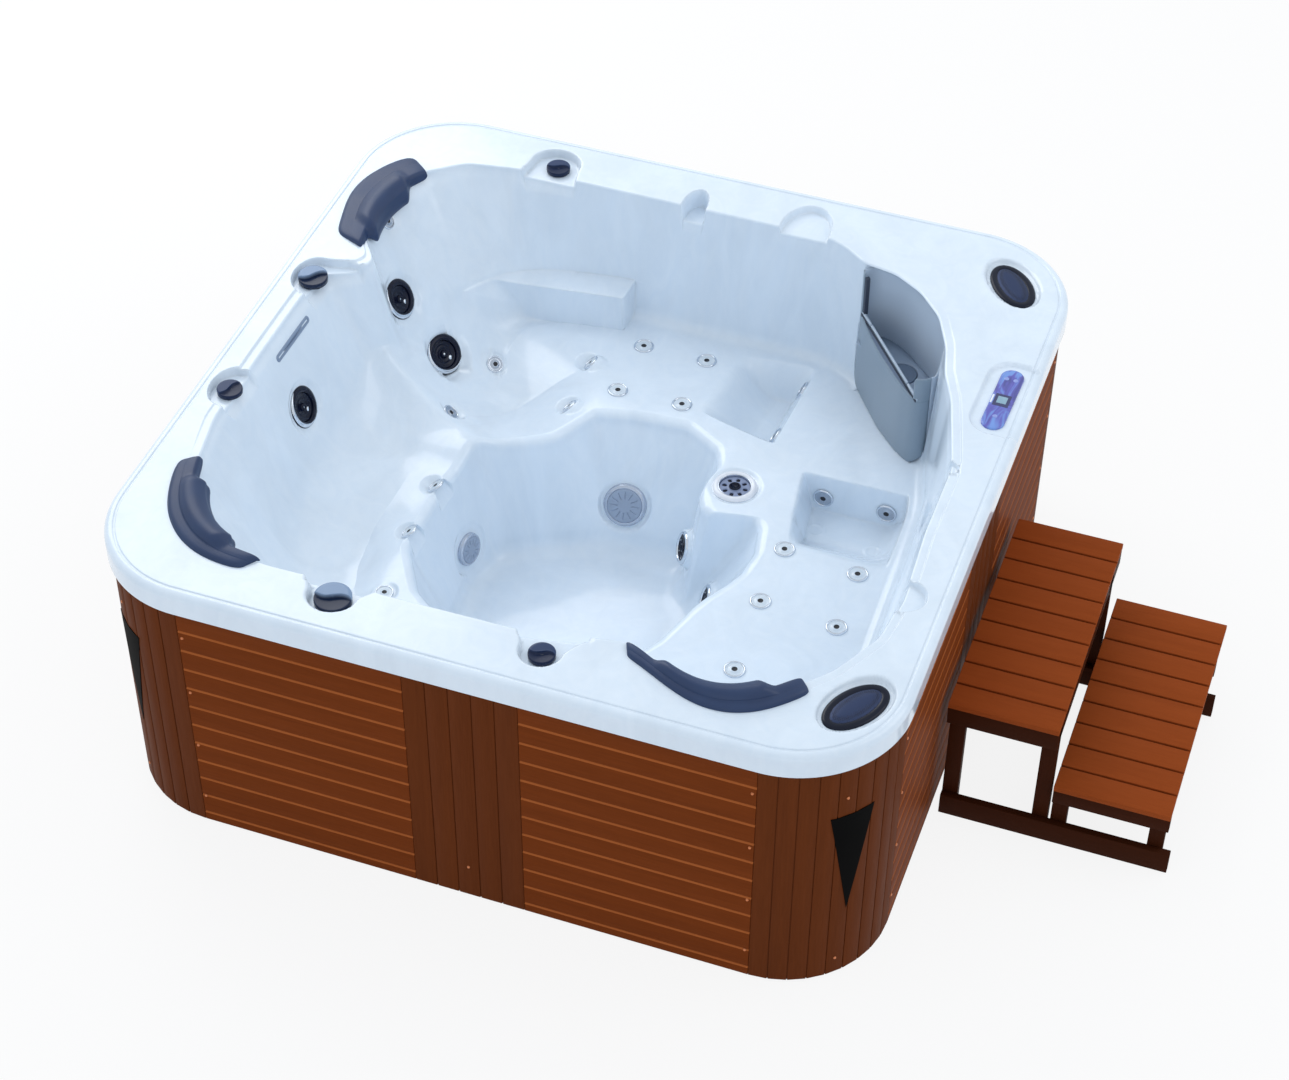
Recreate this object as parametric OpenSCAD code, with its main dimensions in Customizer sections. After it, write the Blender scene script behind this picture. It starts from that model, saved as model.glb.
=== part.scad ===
/* [Tub] */
// Outer width and depth of the moulded rim
tub_w = 2200; // [2170:10:2230]
// Height of the rim above the ground
tub_h = 890; // [875:5:905]
// Height of the turned-down lip
lip_h = 73; // [60:1:80]
// Outer corner radius of the rim
lip_r = 310; // [300:5:330]
// Thickness of the moulded shell
shell_t = 10; // [9:0.5:12]
// Height of the seats above the ground
seat_h = 450; // [440:5:460]
// Height of the footwell floor above the ground
floor_h = 75; // [60:5:90]

/* [Cabinet] */
// Thickness of the cabinet panels
panel_t = 14; // [12:1:16]
// Spacing of the horizontal grooves in the slatted panels
groove_pitch = 71; // [66:1:73]
// Width of a groove
groove_w = 7; // [4:1:10]
// Width of the upright boards at the middle of each side
centre_w = 315; // [295:5:325]
// Head diameter of the panel screws
screw_head_d = 9; // [7:0.5:10]

/* [Fittings] */
// Flange diameter of the large massage jets
big_jet_d = 124; // [116:2:130]
// Flange diameter of the small wall jets
small_jet_d = 54; // [48:1:58]
// Flange diameter of the jets in the seats
seat_jet_d = 62; // [56:1:66]
// Diameter of the air control knobs
air_knob_d = 72; // [64:1:78]
// Diameter of the diverter knobs
diverter_d = 92; // [84:1:98]
// Diameter of the filter cartridge
filter_d = 92; // [80:2:96]
// Travel room above a speaker when it stands in its cup
speaker_h = 70; // [62:2:76]

/* [Steps] */
// Height of the upper platform of the steps
step_h = 445; // [420:5:470]
// Length of the steps along the tub
step_len = 770; // [740:10:800]
// Gap between two boards
board_gap = 7; // [5:1:9]

/* [Hidden] */

// the drawn sizes below are for a rim 2200 wide and grow with it
hw = tub_w / 2;
k = hw / 1100;
clear = 0.5;
run = 0.05;
seg = 72;
edge_r = 16;
lip_edge = 20;

// openings of the shell seen from above, going round from the right
wall_top_line = [[960, 60], [885, 330], [838, 437], [812, 544], [758, 667], [680, 755], [590, 812], [489, 830],
    [420, 880], [360, 908], [-600, 912], [-780, 880], [-880, 800], [-932, 700], [-955, 590], [-945, 500],
    [-920, 430], [-925, 330],
    [-985, 200], [-985, -430], [-958, -560], [-940, -655], [-887, -792], [-770, -896], [-605, -912],
    [100, -905], [370, -852], [425, -885], [490, -932], [560, -964], [640, -968],
    [715, -942], [775, -888], [880, -770], [955, -620], [975, -450],
    [960, -207]];
wall_foot_line = [[850, 60], [840, 330], [785, 530], [490, 820], [420, 826], [-250, 822], [-460, 775],
    [-600, 650], [-690, 440], [-750, 290], [-800, 0], [-810, -300], [-760, -540], [-630, -730],
    [-400, -830], [0, -830], [380, -780], [600, -820], [800, -720], [860, -560], [860, -300]];
well_top_line = [[375, 45], [345, 80], [270, 85], [205, 125], [192, 180], [200, 260], [212, 360], [195, 430],
    [84, 442], [-71, 433], [-188, 405], [-268, 280], [-368, 210], [-460, 153], [-490, -50], [-490, -300],
    [-400, -450], [-335, -500], [-68, -548], [159, -530], [255, -474], [347, -234]];
well_foot_line = [[250, 30], [215, 70], [190, 110], [160, 180], [150, 245], [71, 251], [-78, 235], [-219, 190],
    [-381, 95], [-420, -50], [-400, -230], [-300, -400], [0, -430], [160, -380], [250, -200]];

function mix(a, b, t) = a + (b - a) * t;
function sm(t) = let (u = min(1, max(0, t))) u * u * (3 - 2 * u);
function bump(a, c, w) = sm(1 - abs(((a - c + 540) % 360) - 180) / w);
function cross2(p, q) = p.x * q.y - p.y * q.x;
// distance from the middle to a line of points along the ray at angle a
function reach(line, a) = let (d = [cos(a), sin(a)], n = len(line))
    max([for (i = [0:n - 1]) let (p = line[i], q = line[(i + 1) % n],
        s0 = cross2(d, p), s1 = cross2(d, q))
        (s0 <= 0 && s1 > 0) ? cross2(p, q - p) / cross2(d, q - p) : 0]);
function soft(line, a) = k * (reach(line, a - 5) + 2 * reach(line, a - 2.5) + 2 * reach(line, a)
    + 2 * reach(line, a + 2.5) + reach(line, a + 5)) / 8;

angles = [for (i = [0:seg - 1]) i * 360 / seg];
r_top = [for (a = angles) soft(wall_top_line, a)];
r_seat = [for (a = angles) soft(wall_foot_line, a)];
r_well = [for (a = angles) soft(well_top_line, a)];
r_foot = [for (a = angles) soft(well_foot_line, a)];
// how far the seats dip below their edges, and the ridge between two of them
function sink(a) = 80 * bump(a, 137, 26) + 48 * bump(a, 208, 38);
function swell(a) = 26 * bump(a, 165, 12);
dip = [for (a = angles) sink(a)];
ridge = [for (a = angles) swell(a)];

function ring(r, z) = [for (i = [0:seg - 1]) [r[i] * cos(angles[i]), r[i] * sin(angles[i]), z[i]]];
function flat(z) = [for (i = [0:seg - 1]) z];
function grow(r, d) = [for (v = r) v + d];
function seat_ring(t, drop) = [for (i = [0:seg - 1])
    seat_h + ridge[i] - dip[i] * t - drop];

upper_rings = [
    ring(grow(r_top, edge_r + 12), flat(tub_h)),
    ring(grow(r_top, edge_r), flat(tub_h)),
    ring(grow(r_top, 0.3 * edge_r), flat(tub_h - 0.3 * edge_r)),
    ring(mix(r_top, r_seat, 0.04), flat(tub_h - edge_r)),
    ring(mix(r_top, r_seat, 0.5), mix(flat(tub_h), seat_ring(0, 0), 0.5)),
    ring(mix(r_top, r_seat, 0.92), mix(flat(tub_h), seat_ring(0.1, 0), 0.92)),
    ring(grow(r_seat, -34), seat_ring(0.35, 0)),
    ring(mix(r_seat, r_well, 0.5), seat_ring(1, 0)),
    ring(grow(r_well, 34), seat_ring(0.25, 0)),
    ring(grow(r_well, -4), seat_ring(0, 14)),
    ring(mix(r_well, r_foot, 0.5), flat(mix(seat_h, floor_h, 0.5))),
    ring(grow(r_foot, 8), flat(floor_h + 26)),
    ring(grow(r_foot, -32), flat(floor_h))];
// how each ring moves outwards and down to make the back of the shell
back_move = [[0, -1], [0.4, -1], [0.8, -0.7], [1, -0.15], [1, -0.15],
    [1, -0.4], [0.3, -1], [0, -1], [0.3, -1], [0.8, -0.7], [0.9, -0.5], [0.7, -0.8], [0.2, -1]];
lower_rings = [for (j = [0:len(upper_rings) - 1]) [for (i = [0:seg - 1])
    let (p = upper_rings[j][i], m = back_move[j])
    p + shell_t * [m[0] * cos(angles[i]), m[0] * sin(angles[i]), m[1]]]];
rings = len(upper_rings);
skin_points = concat([for (r = upper_rings) each r], [for (r = lower_rings) each r],
    [[0, 0, floor_h], [0, 0, floor_h - shell_t]]);
function at(j, i) = j * seg + i % seg;
top_mid = 2 * rings * seg;
skin_faces = concat(
    [for (j = [0:rings - 2]) for (i = [0:seg - 1]) each
        [[at(j, i), at(j + 1, i), at(j + 1, i + 1)], [at(j, i), at(j + 1, i + 1), at(j, i + 1)]]],
    [for (j = [0:rings - 2]) for (i = [0:seg - 1]) let (o = rings) each
        [[at(o + j, i), at(o + j + 1, i + 1), at(o + j + 1, i)], [at(o + j, i), at(o + j, i + 1),
        at(o + j + 1, i + 1)]]],
    [for (i = [0:seg - 1]) [at(rings - 1, i), top_mid, at(rings - 1, i + 1)]],
    [for (i = [0:seg - 1]) [at(2 * rings - 1, i), at(2 * rings - 1, i + 1), top_mid + 1]],
    [for (i = [0:seg - 1]) each [[at(0, i), at(0, i + 1), at(rings, i + 1)],
        [at(0, i), at(rings, i + 1), at(rings, i)]]]);

module skin() polyhedron(skin_points, skin_faces, convexity = 10);

function on_ray(a, r, z) = [r * cos(a), r * sin(a), z];
// points on the seat backs and on the wall of the footwell
function wall_at(a, v) = on_ray(a, mix(soft(wall_top_line, a), soft(wall_foot_line, a), v),
    mix(tub_h, seat_h + swell(a), v));
function well_at(a, v) = on_ray(a, mix(soft(well_top_line, a), soft(well_foot_line, a), v),
    mix(seat_h, floor_h, v));
// height of a seat at a point of the plan
function seat_z(x, y) = let (a = atan2(y, x), r = norm([x, y]), r1 = soft(well_top_line, a),
    r2 = soft(wall_foot_line, a), m = (r1 + r2) / 2, t = r < m ? mix(0.25, 1, (r - r1 - 34) / (m - r1 - 34))
    : mix(1, 0.35, (r - m) / (r2 - 34 - m))) seat_h + swell(a) - sink(a) * t;
function seat_at(x, y) = [k * x, k * y, seat_z(k * x, k * y)];
function unit(v) = v / norm(v);
function inward(n, p) = n.x * p.x + n.y * p.y > 0 ? -n : n;
function wall_n(a, v) = inward(unit(cross(wall_at(a + 2, v) - wall_at(a - 2, v),
    wall_at(a, v + 0.05) - wall_at(a, v - 0.05))), wall_at(a, v));
function well_n(a, v) = inward(unit(cross(well_at(a + 2, v) - well_at(a - 2, v),
    well_at(a, v + 0.05) - well_at(a, v - 0.05))), well_at(a, v));

// a place for a fitting is its point on the shell, the way it faces, and how deep it is sunk
big_sites = [for (s = [[151, 0.5], [146, 0.93], [185.4, 0.51]])
    [wall_at(s[0], s[1]), wall_n(s[0], s[1]), 7]];
wall_sites = [[wall_at(147.1, 0.11), wall_n(147.1, 0.11), 4],
    [seat_at(-575, 550), unit([0.5, -0.45, 0.75]), -8],
    [seat_at(-600, 255), unit([0.6, 0.2, 0.75]), -8],
    [seat_at(-290, 626), unit([-0.55, 0, 0.83]), -2],
    [seat_at(-286, 432), unit([-0.55, 0.1, 0.83]), -2],
    [seat_at(-518, -46), unit([-0.55, 0, 0.83]), -2],
    [seat_at(-518, -243), unit([-0.55, 0, 0.83]), -2],
    [seat_at(-500, -600), [0, 0, 1], 2]];
seat_sites = concat([for (p = [[-161, 748], [42, 748], [-165, 527], [37, 532], [515, 41], [738, 15],
    [515, -180], [743, -205], [530, -453]]) [seat_at(p[0], p[1]), [0, 0, 1], 0]],
    [for (p = [[370, 748], [370, 540]]) [[k * p[0], k * p[1], seat_h - 48], [-1, 0, 0], 0]],
    [for (x = [534, 726]) [[k * x, k * 365, seat_h - 78], [0, -1, 0], 0]]);
foot_site = [seat_at(299, 246), [0, 0, 1], 6];
well_sites = [for (s = [[40.6, 0.57], [6.5, 0.61]]) [well_at(s[0], s[1]), well_n(s[0], s[1]), 6]];
suction_sites = [for (s = [[101.3, 0.65], [182.4, 0.69]]) [well_at(s[0], s[1]), well_n(s[0], s[1]), 4]];
water_site = [wall_at(179.8, 0.135), wall_n(179.8, 0.135), 2];

module at_site(s) translate(s[0] - s[2] * s[1])
    rotate([0, acos(s[1].z), atan2(s[1].y, s[1].x)]) children();

big_hole_r = 46;
small_hole_r = 17;
seat_hole_r = 19;
foot_hole_r = 52;
suction_hole_r = 40;
foot_jet_d = 134;
well_jet_d = 100;
suction_d = 142;
module pad(s, r) at_site(s) translate([0, 0, -shell_t - 7]) cylinder(h = shell_t + 7, r = r + 9, $fn = 20);
module spot(s, r, hole, n = 20) at_site(s) {
    cylinder(h = 60, r = r + 3, $fn = n);
    translate([0, 0, -60]) cylinder(h = 61, r = hole_round * hole + clear, $fn = n);
}
hole_round = 1.02;
module bore(s, hole) at_site(s) translate([0, 0, -25]) cylinder(h = 50, r = 1.04 * hole + clear, $fn = 12);

// half round recesses in the rim, open to the inside of the tub
knob_depth = 27;
knob_places = [[-520, 972, 0], [-1005, -304, 90], [175, -956, 180]];
diverter_places = [[-995, 226, 90], [-397, -958, 180]];
notch_w = 172;
notch_d = 62;
notch_in = 62;
niche_places = [[-66, 923, 0, 94, 74, 60, 24], [280, 928, 0, 146, 108, 23, 16], [962, -455, -90, 132, 72, 22, 16],
    [948, 60, -90, 60, 32, 18, 14]];
module half_round(w, d, inner) intersection() {
    union() {
        translate([0, 0]) scale([w / 2, d]) circle(r = 1, $fn = 24);
        translate([-w / 2, -inner]) square([w, inner + 0.01]);
    }
    translate([-w, -inner]) square([2 * w, inner + 2 * d]);
}
module rim_place(p) translate([k * p[0], k * p[1], 0]) rotate(p[2]) children();

speaker_l = 185;
speaker_w = 116;
speaker_places = [[921, 886, -40], [968, -862, 42]];
module long_round(l, w) {
    for (e = [-1, 1]) translate([e * (l - w) / 2, 0]) circle(d = w, $fn = 24);
    square([l - w, w], center = true);
}

panel_l = 262;
panel_w = 66;
panel_turn = -1.5;
panel_place = [1020, 381];
panel_sunk = 9;

// recesses of the seats: calf trough, foot pocket
trough = [134, 455, 236, 340, 112];
pocket = [475, 150, 352, 215, 126];
module pit(b, t, lift) translate([k * b[0] - t, k * b[1] - t, seat_h - b[4] - t])
    cube([k * b[2] + 2 * t, k * b[3] + 2 * t, b[4] + t + lift]);

// the wall where the skimmer stands, seen from above
skim_a = [490, 818];
skim_b = [783, 534];
skim_len = k * norm(skim_b - skim_a);
skim_turn = atan2(skim_b.y - skim_a.y, skim_b.x - skim_a.x);
skim_bulge = 44;
skim_back = 104;
skim_wall = 5;
skim_top = tub_h - edge_r - 3;
skim_bar_z = tub_h - 188;
module skim_frame() translate([k * skim_a.x, k * skim_a.y, 0]) rotate(skim_turn) children();
// the plan of the skimmer: bowed towards the tub in front, rounded behind
function bow(u, h) = h * (1 - u * u);
module skim_plan(side, front, back) polygon(concat(
    [for (i = [-8:8]) let (u = i / 8) [mix(side, skim_len - side, (u + 1) / 2), -bow(u, front)]],
    [for (i = [8:-1:-8]) let (u = i / 8) [mix(side, skim_len - side, (u + 1) / 2),
        20 + (back - 20) * pow(1 - pow(abs(u), 3), 0.5)]]));

arm_h = 130;
module arm_rest(d, drop) translate([0, 0, seat_h - 60]) linear_extrude(height = 60 + arm_h - drop)
    polygon(k * [[-690 + 6 * d, 742 + d], [-205 - d, 795 + d], [-205 - d, 880 + 6 * d], [-700 + 6 * d, 880 + 6 * d]]);

groove_in = 24;
module rim_ring(d, h, w) translate([0, 0, h]) linear_extrude(height = 20) difference() {
    rounded(hw - d, lip_r - d);
    rounded(hw - d - w, lip_r - d - w);
}
module rounded(h, r) {
    for (x = [-1, 1], y = [-1, 1]) translate([x * (h - r), y * (h - r)]) circle(r = r, $fn = 40);
    square([2 * h, 2 * (h - r)], center = true);
    square([2 * (h - r), 2 * h], center = true);
}

rim_steps = 2;
module rim() {
    translate([0, 0, tub_h - shell_t]) linear_extrude(height = shell_t) difference() {
        rounded(hw - lip_edge, lip_r - lip_edge);
        polygon([for (p = ring(grow(r_top, edge_r + 6), flat(0))) [p.x, p.y]]);
    }
    for (i = [0:rim_steps - 1]) let (a0 = 90 * i / rim_steps, a1 = 90 * (i + 1) / rim_steps)
        rim_band(hw - lip_edge * (1 - cos((a0 + a1) / 2)), tub_h - lip_edge * (1 - sin(a0)),
        lip_edge * (sin(a1) - sin(a0)), shell_t + lip_edge);
    rim_band(hw, tub_h - lip_h, lip_h - lip_edge, shell_t);
}
module rim_band(h, z, tall, thick) translate([0, 0, z]) linear_extrude(height = tall) difference() {
    rounded(h, lip_r - hw + h);
    rounded(hw - thick, lip_r - thick);
}

module shell() {
    color("aliceblue") difference() {
        union() {
            skin();
            rim();
            for (s = big_sites) pad(s, big_jet_d / 2);
            for (s = well_sites) pad(s, well_jet_d / 2);
            for (s = suction_sites) pad(s, suction_d / 2);
            pad(foot_site, foot_jet_d / 2);
            for (p = concat(knob_places, diverter_places)) rim_place(p)
                translate([0, 0, tub_h - knob_depth - shell_t]) linear_extrude(height = knob_depth + shell_t)
                half_round(notch_w + 2 * shell_t, notch_d + shell_t, notch_in);
            for (p = niche_places) rim_place(p) translate([0, 0, tub_h - p[5] - shell_t])
                linear_extrude(height = p[5] + shell_t) half_round(p[3] + 2 * shell_t, p[4] + shell_t, p[6]);
            translate([k * panel_place.x, k * panel_place.y, tub_h - panel_sunk - shell_t])
                rotate(90 + panel_turn) linear_extrude(height = panel_sunk + 1)
                long_round(panel_l + 66, panel_w + 86);
            pit(trough, shell_t, -4);
            pit(pocket, shell_t, -4);
            arm_rest(0, 0);
        }
        for (s = big_sites) spot(s, big_jet_d / 2, big_hole_r);
        for (s = well_sites) spot(s, well_jet_d / 2, well_hole_r);
        for (s = suction_sites) spot(s, suction_d / 2, suction_hole_r);
        spot(foot_site, foot_jet_d / 2, foot_hole_r);
        for (s = wall_sites) spot(s, small_jet_d / 2, small_hole_r, 16);
        for (s = seat_sites) bore(s, seat_hole_r);
        for (p = concat(knob_places, diverter_places)) rim_place(p)
            translate([0, 0, tub_h - knob_depth]) linear_extrude(height = knob_depth + 10)
            half_round(notch_w, notch_d, 120);
        for (p = knob_places) translate([k * p.x, k * p.y, tub_h - knob_depth - 40])
            cylinder(h = 50, r = air_stem_r + clear, $fn = 24);
        for (p = diverter_places) translate([k * p.x, k * p.y, tub_h - knob_depth - 40])
            cylinder(h = 50, r = diverter_stem_r + clear, $fn = 24);
        for (p = niche_places) rim_place(p) translate([0, 0, tub_h - p[5]])
            linear_extrude(height = p[5] + 10) half_round(p[3], p[4], 100);
        translate([k * panel_place.x, k * panel_place.y, 0]) rotate(90 + panel_turn) {
            translate([0, 0, tub_h - panel_sunk]) linear_extrude(height = 30)
                for (e = [0, -66]) translate([0, e]) long_round(panel_l + 46, panel_w + 66);
            translate([0, 0, tub_h - 60]) linear_extrude(height = 70)
                square([panel_l - 50, panel_w - 14], center = true);
        }
        for (p = speaker_places) translate([k * p.x, k * p.y, tub_h - 30]) rotate(p[2])
            linear_extrude(height = 50) long_round(speaker_l - 18, speaker_w - 18);
        pit(trough, 0, 50);
        pit(pocket, 0, 50);
        arm_rest(shell_t, shell_t);
        skim_frame() translate([0, 0, seat_h]) linear_extrude(height = tub_h - edge_r - 2 - seat_h)
            skim_plan(-1, skim_bulge + 1, skim_back + 1);
        at_site(water_site) {
            translate([0, 0, 20]) cube([water_h + 2 * clear, water_l + 2 * clear, 40], center = true);
            translate([0, 0, -10]) cube([water_h - 8, water_l - 12, 60], center = true);
        }
        for (p = speaker_places) translate([k * p.x, k * p.y, tub_h - 5]) rotate(p[2])
            linear_extrude(height = 20) long_round(speaker_l + 22, speaker_w + 22);
        rim_ring(groove_in, tub_h - 2, 5);
    }
}
air_stem_r = 17;
diverter_stem_r = 22;
well_hole_r = 33;
water_h = 24;
water_l = 208;

// cabinet, measured from the middle of the tub
cab = hw - shell_t - 2;
cab_r = lip_r - shell_t - 3;
cab_c = cab - cab_r;
cab_in = cab - panel_t;
panel_low = 4;
panel_high = tub_h - 48;
groove_deep = 3;
board_groove = 3;
stud = 45;
pan_t = 12;
rail_z = tub_h - 100;
lip_low = tub_h - lip_h;
screw_rows = [94, 300, 506, 712];
screw_d = 4;
screw_tall = 2.5;
module side(n) rotate(90 * n) children();
module slats(x0, x1, screw_x) difference() {
    translate([x0, -cab, panel_low]) cube([x1 - x0, panel_t, panel_high - panel_low]);
    for (i = [1:11]) translate([x0 - 1, -cab - 1, lip_low - i * groove_pitch - groove_w / 2])
        cube([x1 - x0 + 2, groove_deep + 1, groove_w]);
    for (z = screw_rows) translate([screw_x, -cab + panel_t / 2, lip_low - z]) rotate([90, 0, 0])
        cylinder(h = 2 * panel_t, r = screw_d / 2 + 0.2, center = true, $fn = 0);
}
function side_screw() = cab_c - 12;
module slats_left() slats(-cab_c + 1, -centre_w / 2 - 1, -side_screw());
module slats_right() slats(centre_w / 2 + 1, cab_c - 1, side_screw());
module boards() difference() {
    translate([-centre_w / 2, -cab, panel_low]) cube([centre_w, panel_t, panel_high - panel_low]);
    for (i = [1:4]) translate([-centre_w / 2 + i * centre_w / 5 - board_groove / 2, -cab - 1, panel_low - 1])
        cube([board_groove, groove_deep + 1, panel_high]);
    translate([0, -cab + panel_t / 2, 120]) rotate([90, 0, 0])
        cylinder(h = 2 * panel_t, r = screw_d / 2 + 0.2, center = true);
}
module front_panel_left() color("sienna") side(0) slats_left();
module front_panel_centre() color("sienna") side(0) boards();
module front_panel_right() color("sienna") side(0) slats_right();
module right_panel_front() color("sienna") side(1) slats_left();
module right_panel_centre() color("sienna") side(1) boards();
module right_panel_back() color("sienna") side(1) slats_right();
module back_panel_right() color("sienna") side(2) slats_left();
module back_panel_centre() color("sienna") side(2) boards();
module back_panel_left() color("sienna") side(2) slats_right();
module left_panel_back() color("sienna") side(3) slats_left();
module left_panel_centre() color("sienna") side(3) boards();
module left_panel_front() color("sienna") side(3) slats_right();

accent_turn = -41;
accent_w = 128;
accent_h = 372;
accent_top = tub_h - 255;
accent_deep = 3;
accent_proud = 1.5;
module wedge_prism() rotate([90, 0, 90]) linear_extrude(height = cab_r + 20)
    polygon([[-accent_w / 2, accent_top], [0, accent_top - accent_h], [accent_w / 2, accent_top]]);
module quarter(r0, r1, z0, z1) translate([0, 0, z0]) difference() {
    cylinder(h = z1 - z0, r = r1, $fn = 0);
    translate([0, 0, -1]) cylinder(h = z1 - z0 + 2, r = r0);
    translate([-2 * r1, -2 * r1, -1]) cube([2 * r1, 4 * r1, z1 - z0 + 2]);
    translate([-2 * r1, 0, -1]) cube([4 * r1, 2 * r1, z1 - z0 + 2]);
}
corner_screws = [700, 64];
module corner(n) side(n) translate([cab_c, -cab_c, 0]) difference() {
    quarter(cab_r - panel_t, cab_r, panel_low, panel_high);
    for (i = [1:8]) rotate(-90 + 10 * i) translate([cab_r - groove_deep, -board_groove / 2, 0])
        cube([20, board_groove, tub_h]);
    rotate(accent_turn) intersection() {
        wedge_prism();
        difference() {
            cylinder(h = tub_h, r = cab_r + 5);
            translate([0, 0, -1]) cylinder(h = tub_h + 2, r = cab_r - accent_deep);
        }
    }
    for (z = corner_screws) rotate(-45) translate([cab_r, 0, z]) rotate([0, 90, 0])
        cylinder(h = 3 * panel_t, r = screw_d / 2 + 0.2, center = true);
}
module corner_front_right() color("sienna") corner(0);
module corner_back_right() color("sienna") corner(1);
module corner_back_left() color("sienna") corner(2);
module corner_front_left() color("sienna") corner(3);
module corner_accents() color("black") for (n = [0:3]) side(n) translate([cab_c, -cab_c, 0])
    rotate(accent_turn) intersection() {
        wedge_prism();
        difference() {
            cylinder(h = tub_h, r = cab_r + accent_proud);
            translate([0, 0, -1]) cylinder(h = tub_h + 2, r = cab_r - accent_deep);
        }
    }
module screw() rotate([-90, 0, 0]) {
    translate([0, 0, -screw_tall]) cylinder(h = screw_tall, r1 = screw_head_d / 2 - 1.5, r2 = screw_head_d / 2);
    cylinder(h = panel_t - 0.5, r = screw_d / 2);
}
module panel_screws() color("peru") for (n = [0:3]) side(n) {
    for (z = screw_rows, x = [-1, 1]) translate([x * side_screw(), -cab, lip_low - z]) screw();
    translate([0, -cab, 120]) screw();
    for (z = corner_screws) translate([cab_c, -cab_c, z]) rotate(45) translate([0, -cab_r, 0]) screw();
}

module base_pan() color("dimgray") linear_extrude(height = pan_t)
    rounded(cab_in - 1, cab_r - panel_t + 2);
post_x = 735;
module post(x, y, z0, z1) translate([x - stud / 2, y - stud / 2, z0]) cube([stud, stud, z1 - z0]);
module frame_rails() color("burlywood") for (n = [0:3]) side(n) {
    translate([-k * post_x - stud / 2, -cab_in, pan_t])
        cube([2 * k * post_x + stud, stud, stud]);
    translate([-k * post_x + stud / 2, -cab_in, rail_z]) cube([2 * k * post_x - stud, stud, stud]);
}
module frame_posts() color("burlywood") for (n = [0:3]) side(n) {
    for (e = [-1, 1]) {
        post(e * k * post_x, -cab_in + stud / 2, pan_t + stud, tub_h - lip_edge);
        post(e * 157, -cab_in + stud / 2, pan_t + stud, rail_z);
    }
    translate([cab_c, -cab_c, 0]) rotate(-45)
        translate([sqrt(pow(cab_r - panel_t, 2) - stud * stud / 4) - 0.05 - stud, -stud / 2, pan_t])
        cube([stud, stud, tub_h - 122]);
}

// headrests: swept round a corner of the opening with a rolled pad in the middle
pillow_n = 26;
pillow_lines = [[1, 0, 0, 0], [0.5, 5, 0, 0], [0, 22, 0, 0], [0, -8, 0, 0], [0, -19, -11, 0], [0, -33, -32, 0],
    [0, -42, -37, 0], [0, -49, -29, 2], [0, -49, -12, 6], [0, -39, 4, 12], [0, -22, 14, 16], [0, -2, 18, 18],
    [0.1, 8, 18, 15], [0.35, 6, 17, 8], [0.6, 3, 15, 2], [0.82, 1, 13, 0], [0.96, 0, 9, 0], [1, 0, 4, 0]];
function pad_size(u) = sm(min(u, 1 - u) / 0.3);
function end_size(u) = pow(1 - pow(abs(2 * u - 1), 5), 0.4);
// a pillow from angle a0 to a1, reaching out over the rim by wide, and by swollen more in the middle
module pillow(a0, a1, wide, swollen) {
    n = len(pillow_lines);
    points = [for (j = [0:pillow_n]) let (u = mix(0.01, 0.99, j / pillow_n), a = mix(a0, a1, u),
        r = soft(wall_top_line, a), w = end_size(u), p = pad_size(u), out = wide + swollen * sin(180 * u))
        for (q = pillow_lines) let (d = 6 + (q[0] * out + q[1] - 6) * (0.2 + 0.8 * w),
        z = q[2] < 0 ? q[2] * w * (0.1 + 0.9 * w) : q[2] + q[3] * p)
        [(r + d) * cos(a), (r + d) * sin(a), tub_h + z]];
    faces = concat([for (j = [0:pillow_n - 1]) for (i = [0:n - 1]) let (b = (i + 1) % n) each
        [[j * n + i, (j + 1) * n + i, (j + 1) * n + b], [j * n + i, (j + 1) * n + b, j * n + b]]],
        [[for (i = [0:n - 1]) i]], [[for (i = [0:n - 1]) pillow_n * n + n - 1 - i]]);
    polyhedron(points, faces, convexity = 6);
}
module pillow_back_left() color("darkslategray") pillow(138, 158, 96, 26);
module pillow_front_left() color("darkslategray") pillow(212.5, 236.5, 60, 6);
module pillow_front_right() color("darkslategray") pillow(293, 314.5, 62, 6);

// speakers stand in cups and rise when they are switched on
cup_wall = 4;
cup_top = tub_h - 2.5;
cup_low = tub_h - 5 - speaker_h - 8;
module at_speaker(p) translate([k * p.x, k * p.y, 0]) rotate(p[2]) children();
module stadium(l, w, z0, z1) translate([0, 0, z0]) linear_extrude(height = z1 - z0) {
    for (e = [-1, 1]) translate([e * (l - w) / 2, 0]) circle(d = w);
    square([l - w, w], center = true);
}
module speaker_cups() color("black") for (p = speaker_places) at_speaker(p) difference() {
    union() {
        stadium(speaker_l, speaker_w, tub_h - 5, cup_top);
        stadium(speaker_l - 20, speaker_w - 20, cup_low, tub_h - 5);
    }
    stadium(speaker_l - 20 - 2 * cup_wall, speaker_w - 20 - 2 * cup_wall, cup_low + cup_wall, tub_h);
}
module speaker(p) at_speaker(p) difference() {
    union() {
        stadium(speaker_l - 29, speaker_w - 29, cup_low + cup_wall, tub_h - 4);
        stadium(speaker_l - 40, speaker_w - 40, tub_h - 4, tub_h + 1);
    }
    stadium(speaker_l - 52, speaker_w - 52, tub_h - 1, tub_h + 2);
    stadium(speaker_l - 45, speaker_w - 45, cup_low, tub_h - 12);
}
module speaker_back() color("dimgray") speaker(speaker_places[0]);
module speaker_front() color("dimgray") speaker(speaker_places[1]);

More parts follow.
